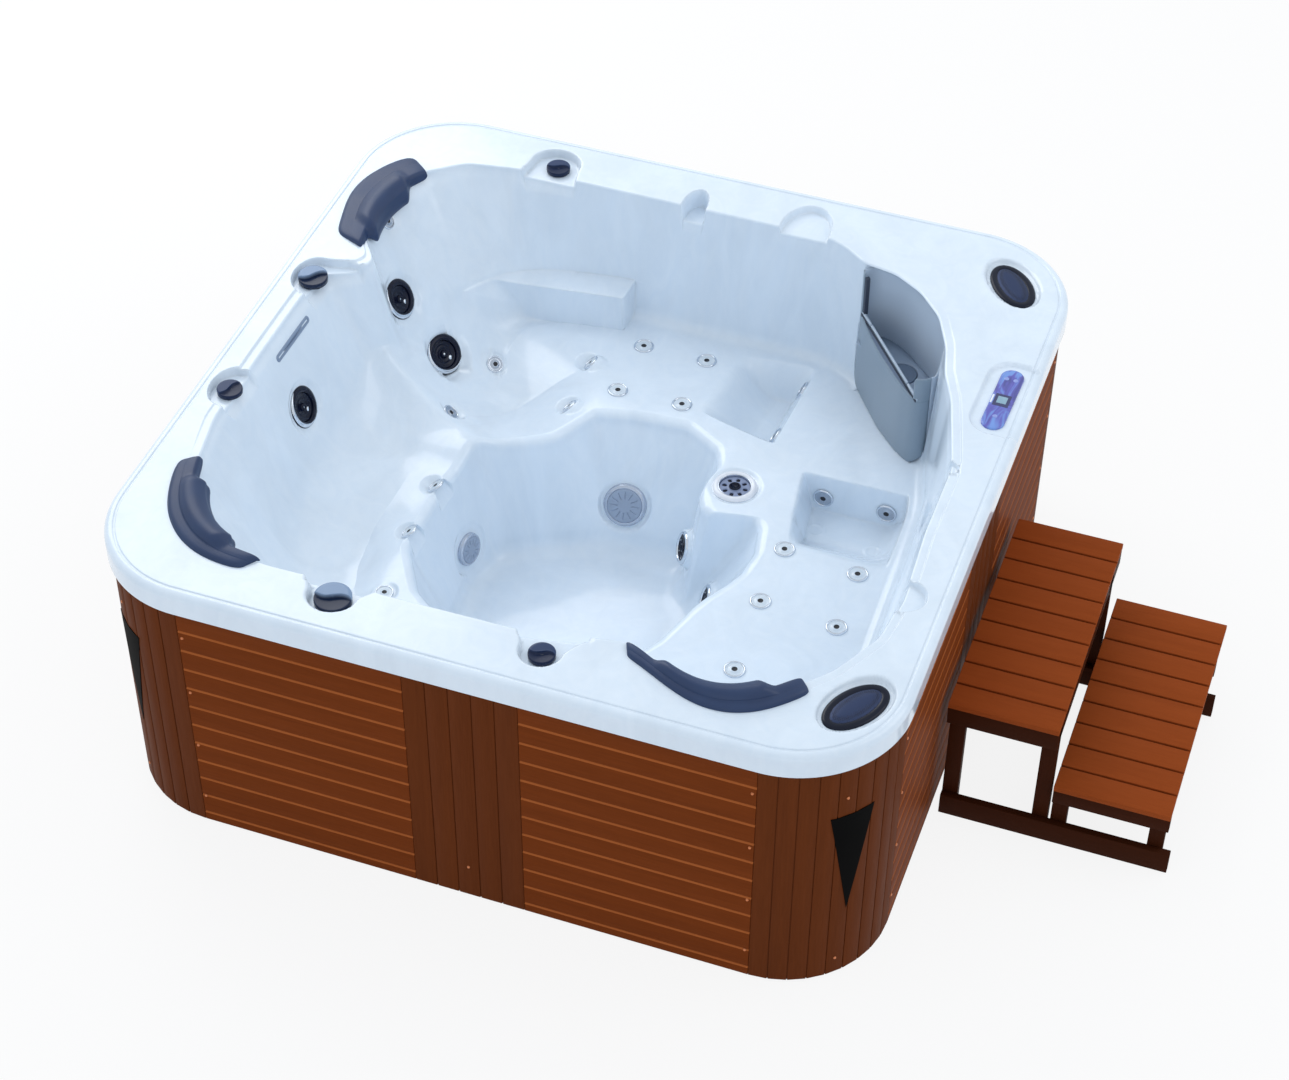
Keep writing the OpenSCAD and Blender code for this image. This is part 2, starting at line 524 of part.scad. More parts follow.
button_r = 7;
button_travel = 1;
button_places = [[86, 13], [86, -13], [-78, 0]];
panel_z = tub_h - panel_sunk;
module at_panel() translate([k * panel_place.x, k * panel_place.y, 0]) rotate(90 + panel_turn) children();
module control_panel() color("slateblue") at_panel() difference() {
    union() {
        stadium(panel_l, panel_w, panel_z, panel_z + 6);
        translate([0, 0, panel_z - 16]) cube([panel_l - 52, panel_w - 16, 32], center = true);
    }
    translate([-8, 0, panel_z + 6]) cube([46, 40, 6], center = true);
    for (b = button_places) translate([b.x, b.y, panel_z + 1]) cylinder(h = 10, r = button_r + 0.1);
}
module panel_display() color("lightcyan") at_panel() translate([-8, 0, panel_z + 4.25])
    cube([45.6, 39.6, 2.5], center = true);
module button(b) at_panel() translate([b.x, b.y, panel_z + 1 + button_travel])
    cylinder(h = 5.2, r = button_r);
module button_jets() color("lavender") button(button_places[0]);
module button_light() color("lavender") button(button_places[1]);
module button_heat() color("lavender") button(button_places[2]);

notch_z = tub_h - knob_depth;
knob_bore_r = 6;
module valve(p, r, stem_r, low) translate([k * p.x, k * p.y, 0]) {
    translate([0, 0, notch_z]) cylinder(h = 3, r = r);
    translate([0, 0, low]) cylinder(h = notch_z - low + 1, r = stem_r);
    translate([0, 0, notch_z]) cylinder(h = 15, r = knob_bore_r);
}
module valve_bodies() color("gray") {
    for (p = knob_places) valve(p, air_knob_d / 2 - 8, air_stem_r - 0.6, notch_z - 60);
    for (p = diverter_places) valve(p, diverter_d / 2 - 12, diverter_stem_r - 0.6, notch_z - 90);
}
module knob(p, d, tall) translate([k * p.x, k * p.y, notch_z + 3.3]) difference() {
    union() {
        cylinder(h = tall * 0.55, r = d / 2);
        translate([0, 0, tall * 0.55]) cylinder(h = tall * 0.3, r1 = d / 2, r2 = d * 0.38);
        translate([0, 0, tall * 0.85]) cylinder(h = tall * 0.15, r1 = d * 0.38, r2 = d * 0.2);
        translate([-d * 0.44, -d * 0.06, tall * 0.5]) cube([d * 0.88, d * 0.12, tall * 0.55]);
    }
    translate([0, 0, -1]) cylinder(h = 14, r = knob_bore_r + run);
}
module air_knob_back() color("darkslategray") knob(knob_places[0], air_knob_d, 22);
module air_knob_left() color("darkslategray") knob(knob_places[1], air_knob_d, 22);
module air_knob_front() color("darkslategray") knob(knob_places[2], air_knob_d, 22);
module diverter_knob_left() color("darkslategray") knob(diverter_places[0], diverter_d, 27);
module diverter_knob_front() color("darkslategray") knob(diverter_places[1], diverter_d, 27);

module waterfall_spout() color("lightsteelblue") at_site(water_site) difference() {
    union() {
        translate([0, 0, 2.5]) cube([water_h, water_l, 5], center = true);
        translate([0, 0, -17]) cube([water_h - 9, water_l - 13, 36], center = true);
    }
    translate([0, 0, 3]) cube([6, water_l - 22, 40], center = true);
}

// skimmer
module skim_box(side, front, back, z0, z1) translate([0, 0, z0]) linear_extrude(height = z1 - z0)
    skim_plan(side, front, back);
hinge_y = -18.5;
hinge_z = skim_bar_z - 70;
door_w = 250;
door_t = 5;
pin_r = 4;
lug_t = 8;
module skimmer_housing() color("lightslategray") skim_frame() difference() {
    union() {
        difference() {
            skim_box(0, skim_bulge, skim_back, seat_h, skim_top);
            skim_box(skim_wall, skim_bulge - skim_wall, skim_back - skim_wall, seat_h + skim_wall, skim_top + 1);
            translate([skim_wall, -skim_bulge - 10, skim_bar_z]) cube([skim_len - 2 * skim_wall, skim_bulge + 20, 300]);
        }
        for (e = [-1, 1]) translate([skim_len / 2 + e * (door_w / 2 + 3 + lug_t / 2) - lug_t / 2, -30, hinge_z - 12])
            cube([lug_t, 19, 24]);
    }
    translate([skim_len / 2, hinge_y, hinge_z]) rotate([0, 90, 0])
        cylinder(h = door_w + 6 + 2 * lug_t + 10, r = pin_r + run, center = true);
}
module weir_door() color("lightslategray") skim_frame() translate([skim_len / 2, hinge_y, hinge_z]) {
    rotate([0, 90, 0]) cylinder(h = door_w + 6 + 1.8 * lug_t, r = pin_r, center = true);
    translate([-door_w / 2, -door_t / 2, 0]) cube([door_w, door_t, 74]);
    translate([-door_w / 2, -door_t / 2 - 3, 70]) cube([door_w, door_t + 3, 8]);
}
filter_low = seat_h + skim_wall;
filter_tall = hinge_z - filter_low - 12;
filter_y = 31;
module filter_cartridge() color("white") skim_frame() translate([skim_len / 2, filter_y, filter_low])
    difference() {
        union() {
            cylinder(h = filter_tall, r = filter_d / 2 - 4);
            cylinder(h = 10, r = filter_d / 2);
            translate([0, 0, filter_tall - 10]) cylinder(h = 10, r = filter_d / 2);
        }
        translate([0, 0, -1]) cylinder(h = filter_tall + 2, r = 18);
    }

// massage jets
face_r = 42;
face_gap = 0.6;
cup_deep = 14;
axle_r = 5;
flange_t = 6;
module large_jet_bodies() color("silver") for (s = big_sites) at_site(s) {
    difference() {
        union() {
            cylinder(h = flange_t, r1 = big_jet_d / 2, r2 = big_jet_d / 2 - 5);
            translate([0, 0, -55]) cylinder(h = 56, r = big_hole_r);
        }
        translate([0, 0, -cup_deep]) cylinder(h = 40, r = face_r + face_gap);
    }
    translate([0, 0, -cup_deep - 1]) cylinder(h = cup_deep + 1, r = axle_r);
}
module jet_face(s) at_site(s) difference() {
    union() {
        translate([0, 0, -cup_deep + 0.3]) cylinder(h = cup_deep - 1.3, r = face_r);
        translate([0, 0, -1.5]) cylinder(h = 6, r1 = 12, r2 = 9);
    }
    translate([0, 0, -cup_deep - 1]) cylinder(h = cup_deep + 2, r = axle_r + run);
    translate([20, 8, -9]) cylinder(h = 20, r = 9);
}
module jet_face_upper() color("black") jet_face(big_sites[0]);
module jet_face_lower() color("black") jet_face(big_sites[1]);
module jet_face_left() color("black") jet_face(big_sites[2]);
module nozzle(d, stem_r, tall, tail) difference() {
    union() {
        cylinder(h = tall, r1 = d / 2, r2 = d / 2 - tall * 0.6);
        translate([0, 0, -tail]) cylinder(h = tail + 1, r = stem_r);
    }
    translate([0, 0, -tail - 1]) cylinder(h = tail + tall + 2, r = d * 0.1);
    translate([0, 0, tall - 2]) cylinder(h = 5, r1 = d * 0.22, r2 = d * 0.34);
}
module small_jets() color("silver") for (s = wall_sites) at_site(s) nozzle(small_jet_d, small_hole_r, 5, 34);
module seat_jets() color("silver") for (s = seat_sites) at_site(s) nozzle(seat_jet_d, seat_hole_r, 5, 26);
foot_cup = 20;
module foot_jet_ring() color("white") at_site(foot_site) {
    difference() {
        union() {
            cylinder(h = 10, r1 = foot_jet_d / 2, r2 = foot_jet_d / 2 - 9);
            translate([0, 0, -50]) cylinder(h = 51, r = foot_hole_r);
        }
        translate([0, 0, -foot_cup]) cylinder(h = 50, r = 46);
    }
    translate([0, 0, -foot_cup - 1]) cylinder(h = foot_cup - 3, r = 8);
}
module foot_jet_disc() color("slategray") at_site(foot_site) difference() {
    union() {
        translate([0, 0, -foot_cup + 0.3]) cylinder(h = 20, r = 45.4);
        cylinder(h = 4, r1 = 18, r2 = 15);
    }
    translate([0, 0, -foot_cup - 1]) cylinder(h = 18, r = 8 + run);
    translate([0, 0, -2.5]) cylinder(h = 10, r = 11);
    for (i = [0:7]) rotate(45 * i) translate([31, 0, -6]) cylinder(h = 20, r = 4.5);
}
module footwell_jets() color("silver") for (s = well_sites) at_site(s) difference() {
    union() {
        cylinder(h = 7, r1 = well_jet_d / 2, r2 = well_jet_d / 2 - 6);
        translate([0, 0, -30]) cylinder(h = 31, r = well_hole_r);
    }
    translate([0, 0, -6]) cylinder(h = 20, r = 30);
    translate([0, 0, -40]) cylinder(h = 50, r = 10);
}
module suction_covers() color("lightsteelblue") for (s = suction_sites) at_site(s) difference() {
    union() {
        cylinder(h = 10, r = suction_d / 2);
        translate([0, 0, 10]) cylinder(h = 8, r1 = suction_d / 2, r2 = suction_d / 2 - 14);
        translate([0, 0, -50]) cylinder(h = 51, r = suction_hole_r);
    }
    translate([0, 0, -60]) cylinder(h = 66, r = 25);
    for (i = [0:11]) rotate(30 * i) translate([18, -2.5, 5]) cube([34, 5, 30]);
}

// machinery under the seats
pump_x = -180;
pump_y = -790;
pump_z = 118;
shaft_r = 9;
module pump() color("dimgray") translate([pump_x, pump_y, pump_z]) rotate([0, 90, 0]) {
    difference() {
        union() {
            cylinder(h = 270, r = 80);
            translate([0, 0, -90]) cylinder(h = 91, r = 92);
            translate([0, 0, -130]) cylinder(h = 45, r = 30);
            translate([-140, 0, -45]) rotate([0, 90, 0]) cylinder(h = 100, r = 25);
        }
        translate([0, 0, -75]) cylinder(h = 55, r = 78);
        translate([0, 0, -140]) cylinder(h = 80, r = 22);
        translate([-145, 0, -45]) rotate([0, 90, 0]) cylinder(h = 100, r = 18);
        translate([0, 0, -30]) cylinder(h = 120, r = shaft_r + run);
    }
    for (z = [20, 200]) translate([60, -70, z]) cube([pump_z - pan_t - 60, 140, 40]);
}
module impeller() color("tan") translate([pump_x, pump_y, pump_z]) rotate([0, 90, 0]) {
    translate([0, 0, -60]) cylinder(h = 140, r = shaft_r);
    translate([0, 0, -36]) cylinder(h = 6, r = 70);
    for (i = [0:5]) rotate(60 * i) translate([10, -3, -62]) cube([56, 6, 30]);
}
heat_x = -570;
heat_z = 118;
module heater() color("silver") translate([heat_x, -560, heat_z]) rotate([-90, 0, 0]) difference() {
    union() {
        cylinder(h = 300, r = 34);
        for (z = [30, 240]) translate([-20, 0, z]) cube([40, heat_z - pan_t, 30]);
        translate([-25, -62, 90]) cube([50, 40, 120]);
    }
    translate([0, 0, -1]) cylinder(h = 302, r = 22);
}
module control_box() color("gainsboro") translate([330, -cab_in + stud + 29, pan_t]) {
    difference() {
        cube([300, 110, 230]);
        translate([4, 4, 4]) cube([292, 102, 222]);
    }
}
// a run of pipe through a list of points
module run_pipe(line, r) {
    for (i = [0:len(line) - 2]) let (v = line[i + 1] - line[i]) translate(line[i])
        rotate([0, acos(v.z / norm(v)), atan2(v.y, v.x)]) cylinder(h = norm(v), r = r, $fn = 12);
    for (i = [1:len(line) - 2]) translate(line[i] - [0, 0, r + 6]) cylinder(h = 2 * r + 12, r = r + 7, $fn = 8);
}
suction_end = suction_sites[1][0] - (suction_sites[1][2] + 50) * suction_sites[1][1];
pipe_r = 25;
module plumbing() color("white") {
    run_pipe([[pump_x - 130, pump_y, pump_z], [heat_x, pump_y, pump_z], [heat_x, -560, heat_z]], pipe_r);
    run_pipe([[heat_x, -260, heat_z], [heat_x, suction_end.y - 60, heat_z],
        suction_end - 60 * suction_sites[1][1], suction_end], pipe_r);
    run_pipe([[pump_x - 45, pump_y, pump_z + 140], [pump_x - 45, pump_y, 300], [-620, -700, 300],
        [-660, -200, 300], [-660, 350, 300]], 20);
}

// steps
step_x = hw + 6;
board_t = 18;
upper_w = 305;
lower_w = 322;
boards_n = 9;
near_y = -step_len / 2 + 15;
low_step_h = step_h * 0.516;
board_w = (step_len - (boards_n - 1) * board_gap) / boards_n;
module step_boards() color("chocolate") for (i = [0:boards_n - 1]) {
    translate([step_x, near_y + i * (board_w + board_gap), step_h - board_t]) cube([upper_w, board_w, board_t]);
    translate([step_x + upper_w + 8, near_y + i * (board_w + board_gap), low_step_h - board_t])
        cube([lower_w, board_w, board_t]);
}
leg_w = 44;
leg_t = 26;
rail_t = 22;
frame_ys = [near_y + 4, near_y + step_len - 150];
module step_frame() color("saddlebrown") for (y = frame_ys) {
    for (x = [step_x + 6, step_x + upper_w - leg_w]) translate([x, y + rail_t, 0])
        cube([leg_w, leg_t, step_h - board_t]);
    for (x = [step_x + upper_w + 8, step_x + upper_w + lower_w - leg_w]) translate([x, y + rail_t, 0])
        cube([leg_w, leg_t, low_step_h - board_t]);
    translate([step_x + 6, y, 0]) cube([upper_w + lower_w + 18, rail_t, 72]);
    translate([step_x, y, step_h - board_t - 62]) cube([upper_w, rail_t, 62]);
    translate([step_x + upper_w + 8, y, low_step_h - board_t - 50]) cube([lower_w, rail_t, 50]);
    if (y == frame_ys[0]) for (b = [[step_x + 6, step_h - board_t], [step_x + upper_w - leg_w, step_h - board_t],
        [step_x + upper_w + 8, low_step_h - board_t], [step_x + upper_w + lower_w - leg_w, low_step_h - board_t]])
        translate([b[0], y + rail_t, b[1] - 50]) cube([leg_w, step_len - rail_t - 12, 50]);
}

shell();
base_pan();
frame_posts();
frame_rails();
corner_front_right();
corner_back_right();
corner_back_left();
corner_front_left();
front_panel_left();
front_panel_centre();
front_panel_right();
right_panel_front();
right_panel_centre();
right_panel_back();
back_panel_right();
back_panel_centre();
back_panel_left();
left_panel_back();
left_panel_centre();
left_panel_front();
corner_accents();
panel_screws();
pillow_back_left();
pillow_front_left();
pillow_front_right();
speaker_back();
speaker_front();
speaker_cups();
control_panel();
panel_display();
button_jets();
button_light();
button_heat();
diverter_knob_left();
diverter_knob_front();
air_knob_back();
air_knob_left();
air_knob_front();
valve_bodies();
waterfall_spout();
skimmer_housing();
weir_door();
filter_cartridge();
jet_face_upper();
jet_face_lower();
jet_face_left();
large_jet_bodies();
small_jets();
seat_jets();
foot_jet_ring();
foot_jet_disc();
footwell_jets();
suction_covers();
pump();
impeller();
heater();
control_box();
plumbing();
step_frame();
step_boards();
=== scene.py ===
import math

import bmesh
import bpy
import numpy as np
from mathutils import Matrix


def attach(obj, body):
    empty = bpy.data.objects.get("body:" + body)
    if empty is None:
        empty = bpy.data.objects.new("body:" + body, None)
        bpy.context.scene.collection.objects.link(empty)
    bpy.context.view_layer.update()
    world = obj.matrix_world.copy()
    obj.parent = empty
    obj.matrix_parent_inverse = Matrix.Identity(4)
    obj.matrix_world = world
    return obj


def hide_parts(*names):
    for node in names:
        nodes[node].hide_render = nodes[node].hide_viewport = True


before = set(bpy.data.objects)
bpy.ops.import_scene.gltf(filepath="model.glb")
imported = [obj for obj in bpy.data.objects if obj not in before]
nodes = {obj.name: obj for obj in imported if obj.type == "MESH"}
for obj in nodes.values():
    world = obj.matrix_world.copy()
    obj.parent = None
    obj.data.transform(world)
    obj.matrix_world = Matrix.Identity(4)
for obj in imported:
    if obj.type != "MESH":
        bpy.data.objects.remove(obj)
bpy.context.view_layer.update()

# The camera stands in front of the tub's right half and looks down on it, with a long lens. Its place is in
# metres, and its focal length was solved in pixels of the photo.
# Sizes below are in millimetres, as on the drawing, and turned to metres when a mesh is made.
MM = 0.001
yaw, pitch, roll = 0.3382, 0.7629, 0.008416
camera_place = (2.031, -5.464, 5.928)
FOCAL_PX, PHOTO_W, SENSOR = 2794, 1289, 36.0
ahead = np.array([-math.sin(yaw) * math.cos(pitch), math.cos(yaw) * math.cos(pitch), -math.sin(pitch)])
across = np.array([math.cos(yaw), math.sin(yaw), 0.0])
upward = np.cross(across, ahead)
cam_right = math.cos(roll) * across + math.sin(roll) * upward
cam_up = math.cos(roll) * upward - math.sin(roll) * across
camera = bpy.data.objects.new("camera", bpy.data.cameras.new("camera"))
bpy.context.scene.collection.objects.link(camera)
camera.matrix_world = Matrix(np.column_stack([
    np.append(cam_right, 0), np.append(cam_up, 0), np.append(-ahead, 0), [*camera_place, 1]]).tolist())
camera.data.sensor_width = SENSOR
camera.data.lens = FOCAL_PX * SENSOR / PHOTO_W
camera.data.clip_end = 100
bpy.context.scene.camera = camera
bpy.context.scene.view_settings.view_transform = "Standard"


def new_material(name, colour, rough=0.5, metal=0.0, coat=0.0):
    """A Principled material with plain values on its sockets; returns it with its tree and shader."""
    mat = bpy.data.materials.new(name)
    mat.use_nodes = True
    bsdf = mat.node_tree.nodes["Principled BSDF"]
    bsdf.inputs["Base Color"].default_value = (*colour, 1)
    bsdf.inputs["Roughness"].default_value = rough
    bsdf.inputs["Metallic"].default_value = metal
    bsdf.inputs["Coat Weight"].default_value = coat
    bsdf.inputs["Coat Roughness"].default_value = 0.06
    return mat, mat.node_tree, bsdf


def srgb(r, g, b):
    """Linear colour of an eight-bit screen colour."""
    return tuple(((c / 255 + 0.055) / 1.055) ** 2.4 if c > 10 else c / 255 / 12.92 for c in (r, g, b))


def make_mesh(name, points, faces, material, smooth=True, normals=None):
    """A mesh object from points in millimetres (n by 3) and faces given as an array or list of corners."""
    mesh = bpy.data.meshes.new(name)
    points = np.asarray(points, float)
    if isinstance(faces, np.ndarray):
        count, corners = faces.shape
        mesh.vertices.add(len(points))
        mesh.vertices.foreach_set("co", (points * MM).astype(np.float32).ravel())
        mesh.loops.add(count * corners)
        mesh.loops.foreach_set("vertex_index", faces.astype(np.int32).ravel())
        mesh.polygons.add(count)
        mesh.polygons.foreach_set("loop_start", np.arange(count, dtype=np.int32) * corners)
        mesh.update(calc_edges=True)
        mesh.validate()
    else:
        mesh.from_pydata((points * MM).tolist(), [], faces)
    mesh.polygons.foreach_set("use_smooth", np.full(len(mesh.polygons), smooth))
    mesh.update()
    if normals is not None:
        mesh.normals_split_custom_set_from_vertices(normals.reshape(-1, 3).tolist())
    mesh.materials.append(material)
    obj = bpy.data.objects.new(name, mesh)
    bpy.context.scene.collection.objects.link(obj)
    return obj


# The floor is a plain white sheet; it shows white to the camera and keeps the shadow of the tub.
# Large soft lamps hang above, in front and on the right, and the world fills the shade.
def make_floor():
    """A flat sheet seen as white, lit by the scene only as far as its shadow goes."""
    mat, tree, bsdf = new_material("floor_sheet", (0.86, 0.86, 0.87), 0.9)
    light_path = tree.nodes.new("ShaderNodeLightPath")
    glow = tree.nodes.new("ShaderNodeEmission")
    glow.inputs["Color"].default_value = (1, 1, 1, 1)
    seen = tree.nodes.new("ShaderNodeMath")
    seen.operation = "MAXIMUM"
    tree.links.new(light_path.outputs["Is Camera Ray"], seen.inputs[0])
    tree.links.new(light_path.outputs["Is Glossy Ray"], seen.inputs[1])
    share = tree.nodes.new("ShaderNodeMath")
    share.operation = "MULTIPLY"
    share.inputs[1].default_value = 0.86
    tree.links.new(seen.outputs[0], share.inputs[0])
    mixer = tree.nodes.new("ShaderNodeMixShader")
    tree.links.new(share.outputs[0], mixer.inputs[0])
    tree.links.new(bsdf.outputs[0], mixer.inputs[1])
    tree.links.new(glow.outputs[0], mixer.inputs[2])
    tree.links.new(mixer.outputs[0], tree.nodes["Material Output"].inputs["Surface"])
    reach = 40000
    sheet = make_mesh("floor", [[-reach, -reach, -0.5], [reach, -reach, -0.5], [reach, reach, -0.5],
                                [-reach, reach, -0.5]], [[0, 1, 2, 3]], mat)


make_floor()
world = bpy.data.worlds.new("studio")
bpy.context.scene.world = world
world.use_nodes = True
sky = world.node_tree.nodes["Background"]
sky.inputs["Color"].default_value = (0.88, 0.94, 1.0, 1)
sky.inputs["Strength"].default_value = 0.86


def lamp(name, place, aim, size, power, colour):
    """A square soft lamp at a place, turned to face its aim; both in metres."""
    data = bpy.data.lights.new(name, "AREA")
    data.size = size
    data.energy = power
    data.color = colour
    obj = bpy.data.objects.new(name, data)
    bpy.context.scene.collection.objects.link(obj)
    away = np.array(place) - np.array(aim)
    away /= np.linalg.norm(away)
    side = np.cross([0, 1, 0.01], away)
    side /= np.linalg.norm(side)
    up = np.cross(away, side)
    obj.matrix_world = Matrix(np.column_stack([
        np.append(side, 0), np.append(up, 0), np.append(away, 0), [*place, 1]]).tolist())


lamp("top_lamp", (-3.4, 2.9, 4.1), (0, 0, 0.5), 4.0, 116, (1.0, 0.99, 0.98))
lamp("front_lamp", (1.5, -6.0, 1.5), (0, 0, 0.5), 3.0, 12, (1.0, 0.98, 0.96))
lamp("right_lamp", (4.2, 1.0, 4.6), (0.9, 0, 0.8), 3.0, 34, (1.0, 0.98, 0.96))


# The shell is one sheet of pale marbled acrylic, drawn down over a mould and open at the top.
# Its lip, deck, seat backs, seats and footwell follow lines that go round the middle of the tub.
TUB_H, HALF, LIP_R, LIP_H, LIP_EDGE, DECK_START = 890.0, 1100.0, 310.0, 73.0, 20.0, 32
SEAT_H, FLOOR_H = 450.0, 75.0
wall_top = [[960, 60], [885, 330], [838, 437], [812, 544], [758, 667], [680, 755], [590, 812], [489, 830],
            [420, 880], [360, 908], [-600, 912], [-780, 880], [-880, 800], [-932, 700], [-955, 590],
            [-945, 500], [-920, 430], [-925, 330], [-985, 200], [-985, -430], [-958, -560], [-940, -655],
            [-887, -792], [-770, -896], [-605, -912], [100, -905], [370, -852], [425, -885], [490, -932],
            [560, -964], [640, -968], [715, -942], [775, -888], [880, -770], [955, -620], [975, -450],
            [960, -207]]
wall_foot = [[850, 60], [840, 330], [785, 530], [490, 820], [420, 826], [-250, 822], [-460, 775], [-600, 650],
             [-690, 440], [-750, 290], [-800, 0], [-810, -300], [-760, -540], [-630, -730],
             [-400, -830], [0, -830], [380, -780], [600, -820], [800, -720], [860, -560], [860, -300]]
well_top = [[375, 45], [345, 80], [270, 85], [205, 125], [192, 180], [200, 260], [212, 360], [195, 430],
            [84, 442], [-71, 433], [-188, 405], [-268, 280], [-368, 210], [-460, 153], [-490, -50],
            [-490, -300], [-400, -450], [-335, -500], [-68, -548], [159, -530], [255, -474], [347, -234]]
well_foot = [[250, 30], [215, 70], [190, 110], [160, 180], [150, 245], [71, 251], [-78, 235], [-219, 190],
             [-381, 95], [-420, -50], [-400, -230], [-300, -400], [0, -430], [160, -380], [250, -200]]


def ray_reach(line, turns):
    """Distance from the middle to a closed line of points along rays at the given angles in degrees."""
    p = np.array(line, float)
    q = np.roll(p, -1, 0)
    d = np.stack([np.cos(np.radians(turns)), np.sin(np.radians(turns))], -1)
    s0 = d[:, None, 0] * p[None, :, 1] - d[:, None, 1] * p[None, :, 0]
    s1 = d[:, None, 0] * q[None, :, 1] - d[:, None, 1] * q[None, :, 0]
    e = q - p
    top = (p[:, 0] * e[:, 1] - p[:, 1] * e[:, 0])[None]
    low = d[:, None, 0] * e[None, :, 1] - d[:, None, 1] * e[None, :, 0]
    hit = (s0 <= 0) & (s1 > 0)
    return np.max(np.where(hit, top / np.where(np.abs(low) < 1e-9, 1e-9, low), 0), axis=1)


FINE_STEP = 0.1
fine_turns = np.arange(0, 360, FINE_STEP)


def softened(line, spread):
    """The line's reach on the fine ring of angles, averaged over a window that fades to nothing at spread degrees."""
    r = ray_reach(line, fine_turns + 1e-4)
    n = max(1, int(round(spread / FINE_STEP)))
    weight = 1 - (np.arange(-n, n + 1) / (n + 1)) ** 2
    total = sum(w * np.roll(r, s) for w, s in zip(weight, range(-n, n + 1)))
    return total / weight.sum()


def bell(a, c, w):
    """Smooth hill of height one at angle c that falls to nothing w degrees away."""
    u = np.clip(1 - np.abs((a - c + 540) % 360 - 180) / w, 0, 1)
    return u * u * (3 - 2 * u)


def ease(t):
    """Smooth step from nought to one."""
    u = np.clip(t, 0, 1)
    return u * u * (3 - 2 * u)


def lerp(a, b, t):
    """The number t of the way from a to b."""
    return a + (b - a) * t


top_soft = softened(wall_top, 5.0)
# the corner between the two left seats stands further in than the line the fittings were set out from
corner_top = [q for q in wall_top if not (q[0] < -900 and 190 < q[1] < 510)]
corner_top[corner_top.index([-955, 590]) + 1:corner_top.index([-955, 590]) + 1] = [
    [-938, 500], [-905, 440], [-868, 378], [-860, 338], [-905, 300], [-985, 262]]
top_fine = softened(corner_top, 1.6)
# the back seats reach further under the wall than that line too
drawn_foot = wall_foot[:3] + [[490, 822], [430, 858], [370, 878], [-250, 876], [-450, 830], [-575, 750],
                              [-640, 620]] + wall_foot[8:]
foot_ring, well_ring, floor_ring = softened(wall_foot, 5.0), softened(well_top, 5.0), softened(well_foot, 5.0)
# the crest of the footwell is crisper than the line its jets were set out from, with a lobe round the foot jet
crest_line = [[433, 13], [413, 112], [385, 138], [345, 134], [305, 116], [270, 110], [236, 130], [221, 156],
              [209, 192], [210, 245], [221, 286], [218, 320], [200, 372]] + well_top[8:-1] + [
              [297, -403], [318, -329], [341, -247], [365, -194], [398, -137], [422, -83]]
crest_ring = softened(crest_line, 2.4)
# near the wall fittings the back keeps the drawn, softer line, so that they sit flat on it
near_fittings = np.clip(bell(fine_turns, 149, 9) * 2 + bell(fine_turns, 185.4, 8) * 2
                        + bell(fine_turns, 179.8, 9) * 2, 0, 1)
top_ring = lerp(top_fine, top_soft, near_fittings)


def on_ring(ring, a):
    """Value of a ring of numbers at any angle."""
    return np.interp(np.asarray(a) % 360, np.append(fine_turns, 360), np.append(ring, ring[0]))


def seat_sink(a):
    """How far the two left seats are pressed in at an angle: a hill over each."""
    return 80 * bell(a, 137, 26) + 48 * bell(a, 208, 38)


def seat_ridge(a):
    """Height of the low ridge between the two left seats at an angle."""
    return 26 * bell(a, 165, 12)


def seat_height(x, y):
    """Height of the drawn seats over a point of the plan, without pits and jets."""
    a, r = np.degrees(np.arctan2(y, x)), np.hypot(x, y)
    r1, r2 = on_ring(well_ring, a), on_ring(foot_ring, a)
    m = (r1 + r2) / 2
    t = np.where(r < m, lerp(0.25, 1, (r - r1 - 34) / (m - r1 - 34)), lerp(1, 0.35, (r - m) / (r2 - 34 - m)))
    return SEAT_H + seat_ridge(a) - seat_sink(a) * t


def wall_point(a, v):
    """Point on the seat backs at an angle, v of the way down, with the way the wall faces there."""
    def place(a, v):
        """The point itself, on the straight line from the top of the wall to its foot."""
        r = lerp(on_ring(top_soft, a), on_ring(foot_ring, a), v)
        z = lerp(TUB_H, SEAT_H + float(seat_ridge(a)), v)
        return np.array([r * math.cos(math.radians(a)), r * math.sin(math.radians(a)), z])
    return place(a, v), facing(place, a, v)


def well_point(a, v):
    """The same on the wall of the footwell."""
    def place(a, v):
        """The point itself, on the straight line from the edge of the footwell to its floor."""
        r = lerp(on_ring(well_ring, a), on_ring(floor_ring, a), v)
        return np.array([r * math.cos(math.radians(a)), r * math.sin(math.radians(a)), lerp(SEAT_H, FLOOR_H, v)])
    return place(a, v), facing(place, a, v)


def facing(place, a, v):
    """Unit normal of a surface by the cross product of its two directions, turned inwards."""
    n = np.cross(place(a + 2, v) - place(a - 2, v), place(a, v + 0.05) - place(a, v - 0.05))
    n /= np.linalg.norm(n)
    return -n if n[0] * place(a, v)[0] + n[1] * place(a, v)[1] > 0 else n


def seat_site(x, y, way, sunk):
    """A place on the seats for a fitting that faces a given way."""
    way = np.array(way, float)
    return np.array([x, y, float(seat_height(x, y))]), way / np.linalg.norm(way), sunk


